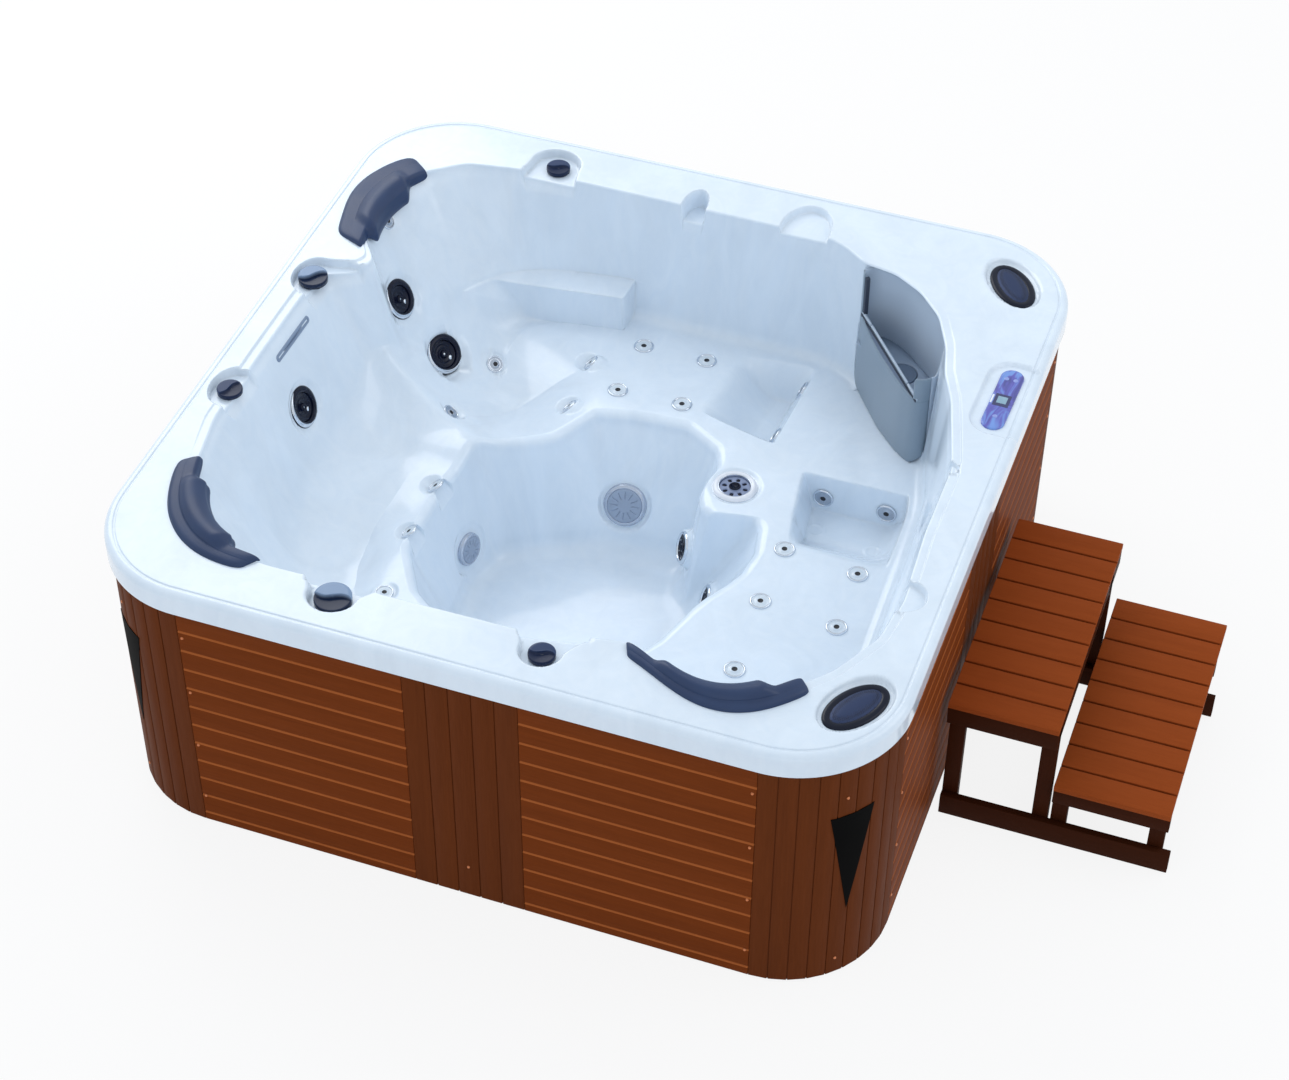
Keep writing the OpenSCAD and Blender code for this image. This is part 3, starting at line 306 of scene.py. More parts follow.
# a place for a fitting: its point on the shell, the way it faces, how deep it is sunk
# the large jets stand on their joints' own axes, since their faces turn; the others are set out on the shell
big_places = [(np.array(c) + 7 * np.array(n), np.array(n), 7) for c, n in [
    ((-833.196, 459.017, 666.592), (0.870036, -0.077806, 0.48681)),
    ((-705.982, 474.675, 476.797), (0.764037, -0.298783, 0.571818)),
    ((-899.713, -84.313, 662.92), (0.923635, -0.017616, 0.382868))]]
small_places = [(*wall_point(147.1, 0.11), 4)] + [seat_site(*s) for s in [
    (-575, 550, [0.5, -0.45, 0.75], -8), (-600, 255, [0.6, 0.2, 0.75], -8), (-290, 626, [-0.72, 0, 0.69], 3),
    (-286, 432, [-0.72, 0.1, 0.69], 3), (-518, -46, [-0.6, 0, 0.8], 3), (-518, -243, [-0.6, 0, 0.8], 3),
    (-486, -490, [0, 0, 1], 2)]]
seat_places = [seat_site(x, y, [0, 0, 1], 0) for x, y in [
    (-161, 748), (42, 748), (-165, 527), (37, 532), (515, 41), (738, 15), (515, -180), (743, -205), (530, -453)]]
pit_places = [(np.array(p), np.array([-0.888, 0, 0.46]), 0) for p in ((343.0, 763.0, 409.0), (330.0, 534.0, 409.0))]
pit_places += [(np.array([x, 365.0, 372.0]), np.array([0, -1.0, 0]), 0) for x in (534, 726)]
foot_place = seat_site(299, 246, [0, 0, 1], 6)
pillar_way = np.array([-0.85, -0.45, 0.27]) / math.hypot(0.85, 0.45, 0.27)
pillar_places = [(np.array([166.0, 160.0, 236.0]), pillar_way, 6), (*well_point(6.5, 0.73), 6)]
suction_places = [(*well_point(a, v), 4) for a, v in [(101.3, 0.65), (182.4, 0.69)]]
water_place = (*wall_point(179.8, 0.135), 2)

# half round recesses of the deck, open to the tub: place, turn, half width, flare, reach outwards, depth
# those of the knobs are KNOB_RECESS deep, and a knob's foot stands KNOB_GAP above their floor
KNOB_RECESS, KNOB_GAP = 27, 3.3
notches = [(-528, 972, 0, 74, 8, 70, KNOB_RECESS), (-1005, -304, 90, 78, 12, 52, KNOB_RECESS),
           (172, -956, 180, 56, 26, 56, KNOB_RECESS), (-995, 226, 90, 78, 10, 56, KNOB_RECESS),
           (-400, -958, 180, 64, 34, 58, KNOB_RECESS)]
niches = [(-66, 923, 0, 34, 14, 74, 60), (280, 928, 0, 73, 4, 108, 23), (962, -455, -90, 60, 14, 72, 22),
          (948, 60, -90, 26, 10, 32, 18)]
# the chord of the skimmer's plate on the plan, and the height of the plate's foot
skim_a, skim_b = np.array([490.0, 818.0]), np.array([783.0, 534.0])
SKIM_LOW = 452
skim_len = float(np.linalg.norm(skim_b - skim_a))
skim_along = (skim_b - skim_a) / skim_len
skim_out = np.array([-skim_along[1], skim_along[0]])


def rounded_reach(half, radius, a):
    """Distance from the middle to a rounded square along rays: to its sides, or to its corner circle."""
    c, s = np.abs(np.cos(np.radians(a))), np.abs(np.sin(np.radians(a)))
    side = half / np.maximum(c, s)
    m = half - radius
    b = m * (c + s)
    corner = b + np.sqrt(np.maximum(b * b - 2 * m * m + radius * radius, 0))
    return np.where(side * np.minimum(c, s) > m, corner, side)


def off_plan(x, y, place, turn):
    """Plan points seen from a place: how far along and across a line that is turned by so many degrees."""
    ca, sa = math.cos(math.radians(turn)), math.sin(math.radians(turn))
    return (x - place[0]) * ca + (y - place[1]) * sa, -(x - place[0]) * sa + (y - place[1]) * ca


def on_plan(u, v, place, turn):
    """The other way round: points given along and across such a line, on the plan."""
    ca, sa = math.cos(math.radians(turn)), math.sin(math.radians(turn))
    return place[0] + u * ca - v * sa, place[1] + u * sa + v * ca


def notch_distance(x, y, n):
    """Signed distance, roughly, to a recess outline: half an ellipse outwards, flaring sides inwards."""
    u, v = off_plan(x, y, n, n[2])
    a, b = n[3], n[5]
    s = np.sqrt((u / a) ** 2 + (v / b) ** 2) + 1e-9
    outer = s * (s - 1) / np.sqrt((u / a ** 2) ** 2 + (v / b ** 2) ** 2 + 1e-12)
    inner = np.maximum(np.abs(u) - (a + n[4] * np.clip(-v / 50, 0, 1.4) ** 1.5), -v - 130)
    return np.where(v > 0, outer, inner)


def stadium_distance(x, y, place, turn, length, width):
    """Signed distance to a long round outline turned on the plan."""
    u, v = off_plan(x, y, place, turn)
    return np.hypot(np.maximum(np.abs(u) - (length - width) / 2, 0), v) - width / 2


# the speakers' middles and turns, and the half lengths of the step and the pit that they stand in
speaker_places = {"speaker_back": (921, 886, -54), "speaker_front": (968, -862, 58)}
SPEAKER_STEP, SPEAKER_PIT = (114, 70), (88, 44)


def oval_distance(x, y, place, a, b):
    """Signed distance, roughly, to an ellipse of half lengths a and b turned on the plan."""
    u, v = off_plan(x, y, place, place[2])
    s = np.sqrt((u / a) ** 2 + (v / b) ** 2) + 1e-9
    return s * (s - 1) / np.sqrt((u / a ** 2) ** 2 + (v / b ** 2) ** 2 + 1e-12)


# the control panel's middle on the plan, its turn in degrees, and the depth of its tray
panel_place, panel_turn, TRAY_DEEP = (1020.0, 381.0), 88.5, 9


def gather(x, y, dist, span):
    """Draws grid points near an outline towards it, so that the steep side of a recess gets enough rows.
    A point at distance d moves along the slope of the distance to sign(d) * d * d / span."""
    e = 0.5
    d = dist(x, y)
    gx, gy = (dist(x + e, y) - dist(x - e, y)) / (2 * e), (dist(x, y + e) - dist(x, y - e)) / (2 * e)
    g = np.hypot(gx, gy) + 1e-6
    near = np.abs(d) < span
    step = np.where(near, np.sign(d) * d * d / span - d, 0) / g ** 2
    return x + step * gx, y + step * gy


# columns of the grid, in degrees apart: close at the deck's recesses, less so at its curves, wider elsewhere
WIDE_STEP, CURVE_STEP, CLOSE_STEP = 0.62, 0.3, 0.2
turn_rate = np.full(len(fine_turns), 1 / WIDE_STEP)
for n in notches + niches:
    mid = math.degrees(math.atan2(n[1], n[0]))
    wide = math.degrees((n[3] + n[4] + 20) / math.hypot(n[0], n[1]))
    away = np.abs((fine_turns - mid + 540) % 360 - 180)
    turn_rate += (1 / CLOSE_STEP - 1 / WIDE_STEP) * ease((wide + 1.2 - away) / 1.2)
for lo, hi in [(10, 88), (99, 107), (-48, -35)]:
    away = np.abs((fine_turns - (lo + hi) / 2 + 540) % 360 - 180)
    turn_rate += (1 / CURVE_STEP - 1 / WIDE_STEP) * ease(((hi - lo) / 2 + 1.5 - away) / 1.5)
turn_rate = np.minimum(turn_rate, 1 / CLOSE_STEP)
turn_sum = np.concatenate([[0], np.cumsum(turn_rate) * FINE_STEP])
columns = int(turn_sum[-1]) // 2 * 2
turns = np.interp(np.arange(columns) * turn_sum[-1] / columns, turn_sum,
                  np.arange(len(fine_turns) + 1) * FINE_STEP)
cos_t, sin_t = np.cos(np.radians(turns)), np.sin(np.radians(turns))
r_top, r_foot = on_ring(top_ring, turns), on_ring(softened(drawn_foot, 5.0), turns)
r_well, r_floor = on_ring(crest_ring, turns), on_ring(floor_ring, turns)


def deck_shape(x, y):
    """Plan points drawn to the outlines of the deck's recesses, and the depth of the deck below its top there."""
    drop = np.zeros_like(x)
    for n in notches + niches:
        x, y = gather(x, y, lambda p, q, n=n: notch_distance(p, q, n), 15)
    for p in speaker_places.values():
        x, y = gather(x, y, lambda u, v, p=p: oval_distance(u, v, p, *SPEAKER_STEP), 14)
    for n in notches + niches:
        drop = np.maximum(drop, n[6] * ease(0.5 - notch_distance(x, y, n) / 7))
    for p in speaker_places.values():
        drop = np.maximum(drop, 15 * ease(0.5 - oval_distance(x, y, p, *SPEAKER_STEP) / 9))
        drop = np.maximum(drop, 30 * ease(0.5 - oval_distance(x, y, p, *SPEAKER_PIT) / 5))
    # the control panel lies in a shallow tray that runs out over the edge of the deck
    tray = stadium_distance(x, y, panel_place, panel_turn, 308, 132)
    along, inwards = off_plan(x, y, panel_place, panel_turn)
    open_side = np.maximum(np.abs(along) - 154, inwards)
    drop = np.maximum(drop, TRAY_DEEP * ease(0.5 - np.minimum(tray, open_side) / 7))
    drop = np.maximum(drop, 22 * ease(0.5 - stadium_distance(x, y, panel_place, panel_turn, 215, 50) / 5))
    return x, y, drop


def ray_points(r):
    """Plan points at a distance along every column."""
    return r * cos_t, r * sin_t


def deck_rows():
    """Rows from the inner foot of the lip, round its outer edge, over the deck, to the rounded edge of the opening."""
    rows = []
    lip = [(10, -LIP_H + 1.5), (8, -LIP_H), (1.5, -LIP_H), (0, -LIP_H + 2)]
    lip += [(0, z) for z in (-62, -50, -38, -28)]
    lip += [(LIP_EDGE * (1 - math.cos(t)), -LIP_EDGE * (1 - math.sin(t))) for t in np.radians(np.arange(0, 91, 11.25))]
    lip += [(22, 0), (23.5, -0.8), (24.6, -2.8), (29.4, -2.8), (30.6, -0.8), (DECK_START, 0)]
    for inset, z in lip:
        x, y = ray_points(rounded_reach(HALF - inset, LIP_R - inset, turns))
        tray = ease(0.5 - (np.abs((y - panel_place[1]) + (x - panel_place[0]) * 0.026) - 148) / 10) * (x > 900)
        sink = TRAY_DEEP * tray * ease((z + 22) / 16)
        rows.append((x, y, TUB_H + z - sink))
    outer = rounded_reach(HALF - DECK_START, LIP_R - DECK_START, turns)
    edge = 7.0
    ledge = 6.5 * np.clip(bell(turns, 178, 40) * 1.6 + bell(turns, 352, 58) * 1.6, 0, 1)
    inner = r_top + edge + 25
    for t in np.linspace(0, 1, 45)[1:]:
        x, y, drop = deck_shape(*ray_points(lerp(outer, inner, t)))
        rows.append((x, y, TUB_H - drop))
    for off, share in [(30, 0.05), (28, 0.5), (26, 0.95), (24, 1.0), (15, 1.0), (9, 1.0)]:
        x, y, drop = deck_shape(*ray_points(r_top + off))
        rows.append((x, y, TUB_H - drop - ledge * share * (drop < 0.5)))
    for t in np.radians([0, 15, 30, 45, 60, 75, 90]):
        x, y, drop = deck_shape(*ray_points(r_top + edge * (1 - math.sin(t))))
        rows.append((x, y, TUB_H - drop - edge * (1 - math.cos(t)) - ledge * (drop < 0.5)))
    return rows


def skim_local(x, y):
    """Plan points along the skimmer's chord and outwards from it."""
    return ((x - skim_a[0]) * skim_along[0] + (y - skim_a[1]) * skim_along[1],
            (x - skim_a[0]) * skim_out[0] + (y - skim_a[1]) * skim_out[1])


def behind_skimmer(x, y, z):
    """Moves the wall back behind the skimmer's housing."""
    u, v = skim_local(x, y)
    w = np.clip(2 * u / skim_len - 1, -1, 1)
    back = 24 + 84 * np.sqrt(np.maximum(1 - np.abs(w) ** 3, 0))
    low = np.clip((z - SKIM_LOW) / 40, 0, 1) < 1
    inside = (u > np.where(low, 44, -3)) & (u < skim_len + np.where(low, -16, 3)) & (v > -60) & (z < TUB_H - 17)
    move = np.where(inside, np.maximum(back - v, 0), 0)
    return x + move * skim_out[0], y + move * skim_out[1], z


def soft_clip(t, e=0.06):
    """A ramp from nought to one with rounded ends."""
    return 0.5 * (np.sqrt(t * t + e * e) - np.sqrt((t - 1) ** 2 + e * e) + 1)


def arm_rest(x, y, z):
    """Brings the back wall forward under a level ledge: a long wedge, thin at the left, with an upright end."""
    here = ease((x + 740) / 30) * ease((-190 - x) / 30) * (y > 600)
    end, top = -243, 580
    dx, dz = x - end, z - top
    x = np.where((np.abs(dx) < 24) & (y > 600), end + np.sign(dx) * dx * dx / 24, x)
    z = np.where(np.abs(dz) < 12, lerp(z, top + np.sign(dz) * dz * dz / 12, here), z)
    face = 742 + np.maximum((x + 690) * 0.127, (-690 - x) * 1.3)
    h = np.clip(0.5 + 0.5 * (face - y) / 16, 0, 1)
    brought = lerp(face, y, h) - 16 * h * (1 - h)
    share = ease((end - x) / 9 + 0.5) * ease((top - z) / 7 + 0.5) * (y > 600)
    return x, lerp(y, brought, share), z


def trough_depth(x, y):
    """The calf trough: a soft left side, a leaning right side that carries two jets, a sloped back, a steep front."""
    left, right = 114 + (y - 519) * 0.113, 348 + (y - 461) * 0.057
    front, back = 519 - 0.25 * (x - 114), 812 + (x - 147) * 0.08
    return (112 * ease((x - left + 22) / 150) * soft_clip((right - x) / 56)
            * soft_clip((y - front) / 12, 0.1) * soft_clip((back - y) / 50))


def pocket_depth(x, y):
    """The foot pocket: an upright back with two jets, a leaning left side, and a front and right side that fade out."""
    left = 474 + (353 - y) * 0.14
    return (126 * soft_clip((x - left) / 30, 0.1) * ease((858 - x) / 130)
            * ease((y - 50) / 185) * soft_clip((372 - y) / 8, 0.2))


# the left seat back flows into its seats in a wide curve, and the other backs in a tight one
soft_foot = ease((turns - 126) / 18) * ease((238 - turns) / 22)
foot_curve = lerp(44.0, 190.0, soft_foot)
WELL_EDGE = 30.0


def wall_rows(start):
    """Rows down the seat backs: straight between the top line and the foot line, then rounding into the seats."""
    rows = []
    x0, y0, z0 = start
    seat_z = SEAT_H + seat_ridge(turns) - 0.35 * seat_sink(turns)
    end_z = SEAT_H + seat_ridge(turns)
    cut = lerp(0.9, 0.62, soft_foot)
    for t in np.concatenate([np.linspace(0, 0.72, 26)[1:], np.linspace(0.72, 0.88, 24)[1:],
                             np.linspace(0.88, 1, 7)[1:]]):
        s0 = (TUB_H - z0) / (TUB_H - end_z)
        s = lerp(s0, cut, t)
        r = lerp(r_top, r_foot, s)
        blend = np.exp(-((s - s0) * (TUB_H - SEAT_H) / 14) ** 2)
        x, y = ray_points(r)
        x, y = lerp(x, x0, blend), lerp(y, y0, blend)
        z = TUB_H + (end_z - TUB_H) * s
        rows.append(arm_rest(*behind_skimmer(x, y, parting_ridge(x, y, z))))
    r_in = r_foot - foot_curve
    for t in np.linspace(0, 1, 16)[1:]:
        r = (1 - t) ** 2 * lerp(r_top, r_foot, cut) + 2 * t * (1 - t) * (r_foot + 2) + t * t * r_in
        z_a, z_c = lerp(TUB_H, end_z, cut), seat_z - 3
        z = (1 - t) ** 2 * z_a + 2 * t * (1 - t) * z_c + t * t * seat_mid(r_in)
        x, y = ray_points(r)
        rows.append(arm_rest(*behind_skimmer(x, y, parting_ridge(x, y, z - trough_depth(x, y)))))
    return rows


def seat_mid(r):
    """Height of the seats at a distance along every column."""
    return seat_height(r * cos_t, r * sin_t)


def parting_ridge(x, y, z):
    """The ridge that parts the left seat from the back left one: its line falls from the deck to the footwell
    at one angle, its sides slope away, and it runs into the seats by a smooth maximum."""
    turn, r = np.arctan2(y, x), np.hypot(x, y)
    crest = np.interp(r, [440, 477, 568, 682, 780, 840], [422, 440, 462, 508, 572, 622])
    ridge = crest - 0.7 * (np.sqrt((r * (turn - math.radians(161.3))) ** 2 + 16 ** 2) - 16)
    h = np.clip(0.5 + 0.5 * (ridge - z) / 34, 0, 1)
    return lerp(z, ridge, h) + 34 * h * (1 - h)


def seat_rows():
    """Rows over the seats from their backs to the rounded edge of the footwell, with the pits pressed in."""
    rows = []
    pocket_back = 368
    for t in np.linspace(0, 1, 96)[1:]:
        x, y = ray_points(lerp(r_foot - foot_curve, r_well + WELL_EDGE, t))
        d = y - pocket_back
        y = np.where((np.abs(d) < 20) & (x > 440) & (x < 870), pocket_back + np.sign(d) * d * d / 20, y)
        z = seat_height(x, y) - trough_depth(x, y) - pocket_depth(x, y)
        for cx, cy in ((539, 276), (724, 245)):
            z = z + 1.8 * np.exp(-((np.hypot(x - cx, y - cy) - 23) / 3.5) ** 2)
        rows.append(arm_rest(x, y, parting_ridge(x, y, z)))
    return rows


def well_rows(z_edge):
    """Rows round the edge of the footwell, down its wall, and over the floor to the middle."""
    rows = []
    for t in np.radians([18, 36, 54, 72, 86]):
        rows.append((*ray_points(r_well + WELL_EDGE * (1 - math.sin(t))), z_edge - WELL_EDGE * (1 - math.cos(t))))
    z_top, z_low = z_edge - WELL_EDGE, FLOOR_H + 60
    r_low = lerp(r_well, r_floor, 0.86)
    for t in np.linspace(0, 1, 36)[1:]:
        rows.append((*ray_points(lerp(r_well, r_low, t)), lerp(z_top, z_low, t)))
    r_in = r_floor - 60
    for t in np.linspace(0, 1, 12)[1:]:
        r = (1 - t) ** 2 * r_low + 2 * t * (1 - t) * (r_floor + 6) + t * t * r_in
        z = (1 - t) ** 2 * z_low + 2 * t * (1 - t) * FLOOR_H + t * t * FLOOR_H
        rows.append((*ray_points(r), z))
    for t in np.linspace(0, 1, 16)[1:-1]:
        rows.append((*ray_points(lerp(r_in, 6, t)), np.full(columns, FLOOR_H)))
    return rows


def grid_normals(grid):
    """Normals of a grid of rows that close on themselves, by the cross product of its two directions."""
    along = np.roll(grid, -1, 1) - np.roll(grid, 1, 1)
    down = np.gradient(grid, axis=0)
    n = np.cross(along, down)
    return n / (np.linalg.norm(n, axis=-1, keepdims=True) + 1e-9)


def seat_fittings(grid):
    """Flattens the shell under each fitting, with a soft dish round it, and opens it under the large cups."""
    for places, flat, soft, hole in [(big_places, 68, 84, 46), (small_places[:1], 30, 52, 0),
                                     (small_places[1:], 30, 42, 0), (seat_places, 33, 40, 0),
                                     ([foot_place], 69, 80, 52), (pillar_places, 52, 62, 33),
                                     (suction_places, 73, 84, 0)]:
        for c, n, sunk in places:
            away = grid - c
            h = away @ n
            d = np.linalg.norm(away - h[..., None] * n, axis=-1)
            near = (np.abs(h) < 60)
            w = ease((soft - d) / (soft - flat)) * near
            goal = -sunk - 0.4 - (42 * ease((hole + 4 - d) / 4) if hole else 0)
            grid = grid + (w * (goal - h))[..., None] * n
    return grid


deck = deck_rows()
walls = wall_rows(deck[-1])
seats = seat_rows()
wells = well_rows(seats[-1][2])
all_rows = deck + walls + seats + wells
shell_grid = np.array([np.stack(np.broadcast_arrays(*r), -1) for r in all_rows])
shell_grid = seat_fittings(shell_grid)
shell_normals = grid_normals(shell_grid)


def marbled(name):
    """Pale acrylic with cloudy grey-blue streaks that run down the walls and across the deck, under a clear gloss."""
    mat, tree, bsdf = new_material(name, (0.8, 0.87, 0.95), 0.16, coat=0.25)
    add, link = tree.nodes.new, tree.links.new
    where = add("ShaderNodeTexCoord")
    turn = add("ShaderNodeMapping")
    turn.inputs["Rotation"].default_value = (0.25, -0.3, 0.5)
    turn.inputs["Scale"].default_value = (2.4, 2.4, 0.8)
    link(where.outputs["Object"], turn.inputs["Vector"])
    cloud = add("ShaderNodeTexNoise")
    for key, value in (("Scale", 1.7), ("Detail", 5.0), ("Roughness", 0.55), ("Distortion", 1.4)):
        cloud.inputs[key].default_value = value
    link(turn.outputs[0], cloud.inputs["Vector"])
    streak = add("ShaderNodeTexNoise")
    for key, value in (("Scale", 5.5), ("Detail", 4.0), ("Roughness", 0.6), ("Distortion", 2.2)):
        streak.inputs[key].default_value = value
    link(turn.outputs[0], streak.inputs["Vector"])
    ramp = add("ShaderNodeValToRGB")
    ramp.color_ramp.elements[0].position, ramp.color_ramp.elements[1].position = 0.36, 0.62
    ramp.color_ramp.elements[0].color = (*srgb(222, 233, 244), 1)
    ramp.color_ramp.elements[1].color = (*srgb(228, 239, 250), 1)
    fine = add("ShaderNodeValToRGB")
    fine.color_ramp.elements[0].position, fine.color_ramp.elements[1].position = 0.3, 0.7
    fine.color_ramp.elements[0].color = (*srgb(249, 251, 253), 1)
    fine.color_ramp.elements[1].color = (*srgb(255, 255, 255), 1)
    both = add("ShaderNodeMix")
    both.data_type, both.blend_type = "RGBA", "MULTIPLY"
    both.inputs[0].default_value = 1.0
    link(cloud.outputs["Fac"], ramp.inputs[0])
    link(streak.outputs["Fac"], fine.inputs[0])
    link(ramp.outputs[0], both.inputs[6])
    link(fine.outputs[0], both.inputs[7])
    link(both.outputs[2], bsdf.inputs["Base Color"])
    return mat


acrylic = marbled("marbled_acrylic")


def numbered(grid):
    """The numbers of a grid's points, in the grid's own rows and columns."""
    rows, cols = grid.shape[:2]
    return np.arange(rows * cols).reshape(rows, cols)


def shell_part(name, first, last, close=False):
    """Rows first to last of the shell's grid as one mesh; the last part is closed at the middle of the floor."""
    grid, normals = shell_grid[first:last + 1], shell_normals[first:last + 1]
    index = numbered(grid)
    right = np.roll(index, -1, 1)
    quads = np.stack([index[:-1], right[:-1], right[1:], index[1:]], -1).reshape(-1, 4)
    points, normals = grid.reshape(-1, 3), normals.reshape(-1, 3)
    if close:
        ring = index[-1]
        fan = np.stack([ring[::2], ring[1::2], np.roll(ring, -2)[::2], np.full(len(ring) // 2, index.size)], -1)
        points, normals = np.vstack([points, [0, 0, FLOOR_H]]), np.vstack([normals, [0, 0, 1]])
        quads = np.concatenate([quads, fan])
    return make_mesh(name, points, np.ascontiguousarray(quads), acrylic, normals=normals)


edges = np.cumsum([len(deck), len(walls), len(seats), len(wells)]) - 1
shell_pieces = [shell_part("shell_rim", 0, edges[0]), shell_part("shell_backs", edges[0], edges[1]),
                shell_part("shell_seats", edges[1], edges[2]), shell_part("shell_footwell", edges[2], edges[3], True)]
for piece in shell_pieces:
    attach(piece, "tub")
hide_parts("shell")


# The cabinet is wood-brown composite board: on each side two slatted panels and a row of five upright
# boards between them, and four round corners of narrow upright boards. The boards have a fine brushed grain.
def grain_group():
    """Shader group: long fine streaks on a stretched vector, out as a colour, a roughness and a height."""
    group = bpy.data.node_groups.new("board_grain", "ShaderNodeTree")
    face = group.interface
    face.new_socket("Vector", in_out="INPUT", socket_type="NodeSocketVector")
    face.new_socket("Light", in_out="INPUT", socket_type="NodeSocketColor")
    face.new_socket("Dark", in_out="INPUT", socket_type="NodeSocketColor")
    for key in ("Color", "Roughness", "Height"):
        face.new_socket(key, in_out="OUTPUT", socket_type="NodeSocketColor" if key == "Color" else "NodeSocketFloat")
    add, link = group.nodes.new, group.links.new
    start, end = add("NodeGroupInput"), add("NodeGroupOutput")
    streak, patch = add("ShaderNodeTexNoise"), add("ShaderNodeTexNoise")
    for node, values in ((streak, (9.0, 6.0, 0.62, 0.3)), (patch, (1.1, 3.0, 0.5, 0.6))):
        for key, value in zip(("Scale", "Detail", "Roughness", "Distortion"), values):
            node.inputs[key].default_value = value
        link(start.outputs["Vector"], node.inputs["Vector"])
    blend = add("ShaderNodeMath")
    blend.operation = "MULTIPLY_ADD"
    blend.inputs[1].default_value = 0.55
    link(patch.outputs["Fac"], blend.inputs[0])
    half = add("ShaderNodeMath")
    half.operation = "MULTIPLY_ADD"
    half.inputs[1].default_value = 0.75
    half.inputs[2].default_value = -0.15
    link(streak.outputs["Fac"], half.inputs[0])
    link(half.outputs[0], blend.inputs[2])
    colours = add("ShaderNodeMix")
    colours.data_type = "RGBA"
    link(blend.outputs[0], colours.inputs[0])
    link(start.outputs["Dark"], colours.inputs[6])
    link(start.outputs["Light"], colours.inputs[7])
    rough = add("ShaderNodeMapRange")
    rough.inputs["To Min"].default_value, rough.inputs["To Max"].default_value = 0.62, 0.42
    link(streak.outputs["Fac"], rough.inputs["Value"])
    link(colours.outputs[2], end.inputs["Color"])
    link(rough.outputs[0], end.inputs["Roughness"])
    link(streak.outputs["Fac"], end.inputs["Height"])
    return group


board_grain = grain_group()


def board_material(name, light, dark, stretch, bump=0.12):
    """Composite board with its grain along one axis: the stretch is small along the grain and large across it."""
    mat, tree, bsdf = new_material(name, light, 0.5)
    bsdf.inputs["Specular IOR Level"].default_value = 0.03
    add, link = tree.nodes.new, tree.links.new
    where, turn, grain, relief = (add(k) for k in (
        "ShaderNodeTexCoord", "ShaderNodeMapping", "ShaderNodeGroup", "ShaderNodeBump"))
    grain.node_tree = board_grain
    turn.inputs["Scale"].default_value = stretch
    grain.inputs["Light"].default_value = (*light, 1)
    grain.inputs["Dark"].default_value = (*dark, 1)
    link(where.outputs["Object"], turn.inputs["Vector"])
    link(turn.outputs[0], grain.inputs["Vector"])
    link(grain.outputs["Color"], bsdf.inputs["Base Color"])
    link(grain.outputs["Roughness"], bsdf.inputs["Roughness"])
    relief.inputs["Strength"].default_value = bump
    relief.inputs["Distance"].default_value = 0.0006
    link(grain.outputs["Height"], relief.inputs["Height"])
    link(relief.outputs[0], bsdf.inputs["Normal"])
    return mat


slat_board = board_material("slat_board", srgb(128, 61, 23), srgb(97, 44, 15), (1.2, 1.2, 26))
# a lighter copy of the slat board for the slats' up-facing groove edges: painted highlight
groove_highlight = board_material("slat_groove_painted_highlight", srgb(176, 98, 50), srgb(156, 84, 42), (1.2, 1.2, 26))
upright_board = board_material("upright_board", srgb(110, 54, 22), srgb(83, 39, 15), (24, 24, 1.1))

CAB, PANEL_T = 1088.0, 14.0
CAB_R = 297.0
CAB_C = CAB - CAB_R
PANEL_LOW, PANEL_HIGH, LIP_LOW = 4.0, 842.0, 817.0
SLATS, SLAT_PITCH = 12, 71


def strip_solid(front, back):
    """A solid from two grids of equal shape, its front and its back, joined round their edges."""
    index = numbered(front)
    quads = np.stack([index[:-1, :-1], index[:-1, 1:], index[1:, 1:], index[1:, :-1]], -1).reshape(-1, 4)
    ring = np.concatenate([index[0, :-1], index[:-1, -1], index[-1, :0:-1], index[:0:-1, 0]])
    nxt = np.roll(ring, -1)
    off = index.size
    sides = np.stack([nxt, ring, ring + off, nxt + off], -1)
    return np.concatenate([front.reshape(-1, 3), back.reshape(-1, 3)]), np.concatenate([
        quads, quads[:, ::-1] + off, sides])


def crisp(obj, angle=32):
    """Marks the edges sharper than an angle in degrees, so that they shade crisply."""
    obj.data.set_sharp_from_angle(angle=math.radians(angle))
    return obj


def turned_side(points, n):
    """Turns points about the middle of the tub by n quarter turns."""
    c, s = [(1, 0), (0, 1), (-1, 0), (0, -1)][n]
    return np.stack([points[..., 0] * c - points[..., 1] * s, points[..., 0] * s + points[..., 1] * c,
                     points[..., 2]], -1)


def panel_grid(along, heights, inset):
    """Front of a flat panel on the front side: x along, z up, y set in by a table of depths."""
    x, z = np.meshgrid(along, heights)
    return np.stack([x, -CAB + inset, z], -1)


def slat_panel(x0, x1):
    """A panel of twelve slats: under each groove the next slat's top edge slopes out to its face."""
    z, deep = [PANEL_LOW, PANEL_LOW + 1.2], [1.2, 0.0]
    for i in range(SLATS - 1, 0, -1):
        mid = LIP_LOW - SLAT_PITCH * i
        z += [mid - 4.6, mid - 3.4, mid + 0.6, mid + 2.6, mid + 3.1, mid + 4.0]
        deep += [0.0, 0.5, 2.8, 3.0, 1.0, 0.0]
    z += [PANEL_HIGH - 1, PANEL_HIGH]
    deep += [0.0, 1.0]
    along = np.array([x0, x0 + 1.0, x1 - 1.0, x1])
    inset = np.array(deep)[:, None] + np.array([1.0, 0, 0, 1.0])[None]
    front = panel_grid(along, np.array(z), inset)
    back = front.copy()
    back[..., 1] = -CAB + PANEL_T
    return front, back


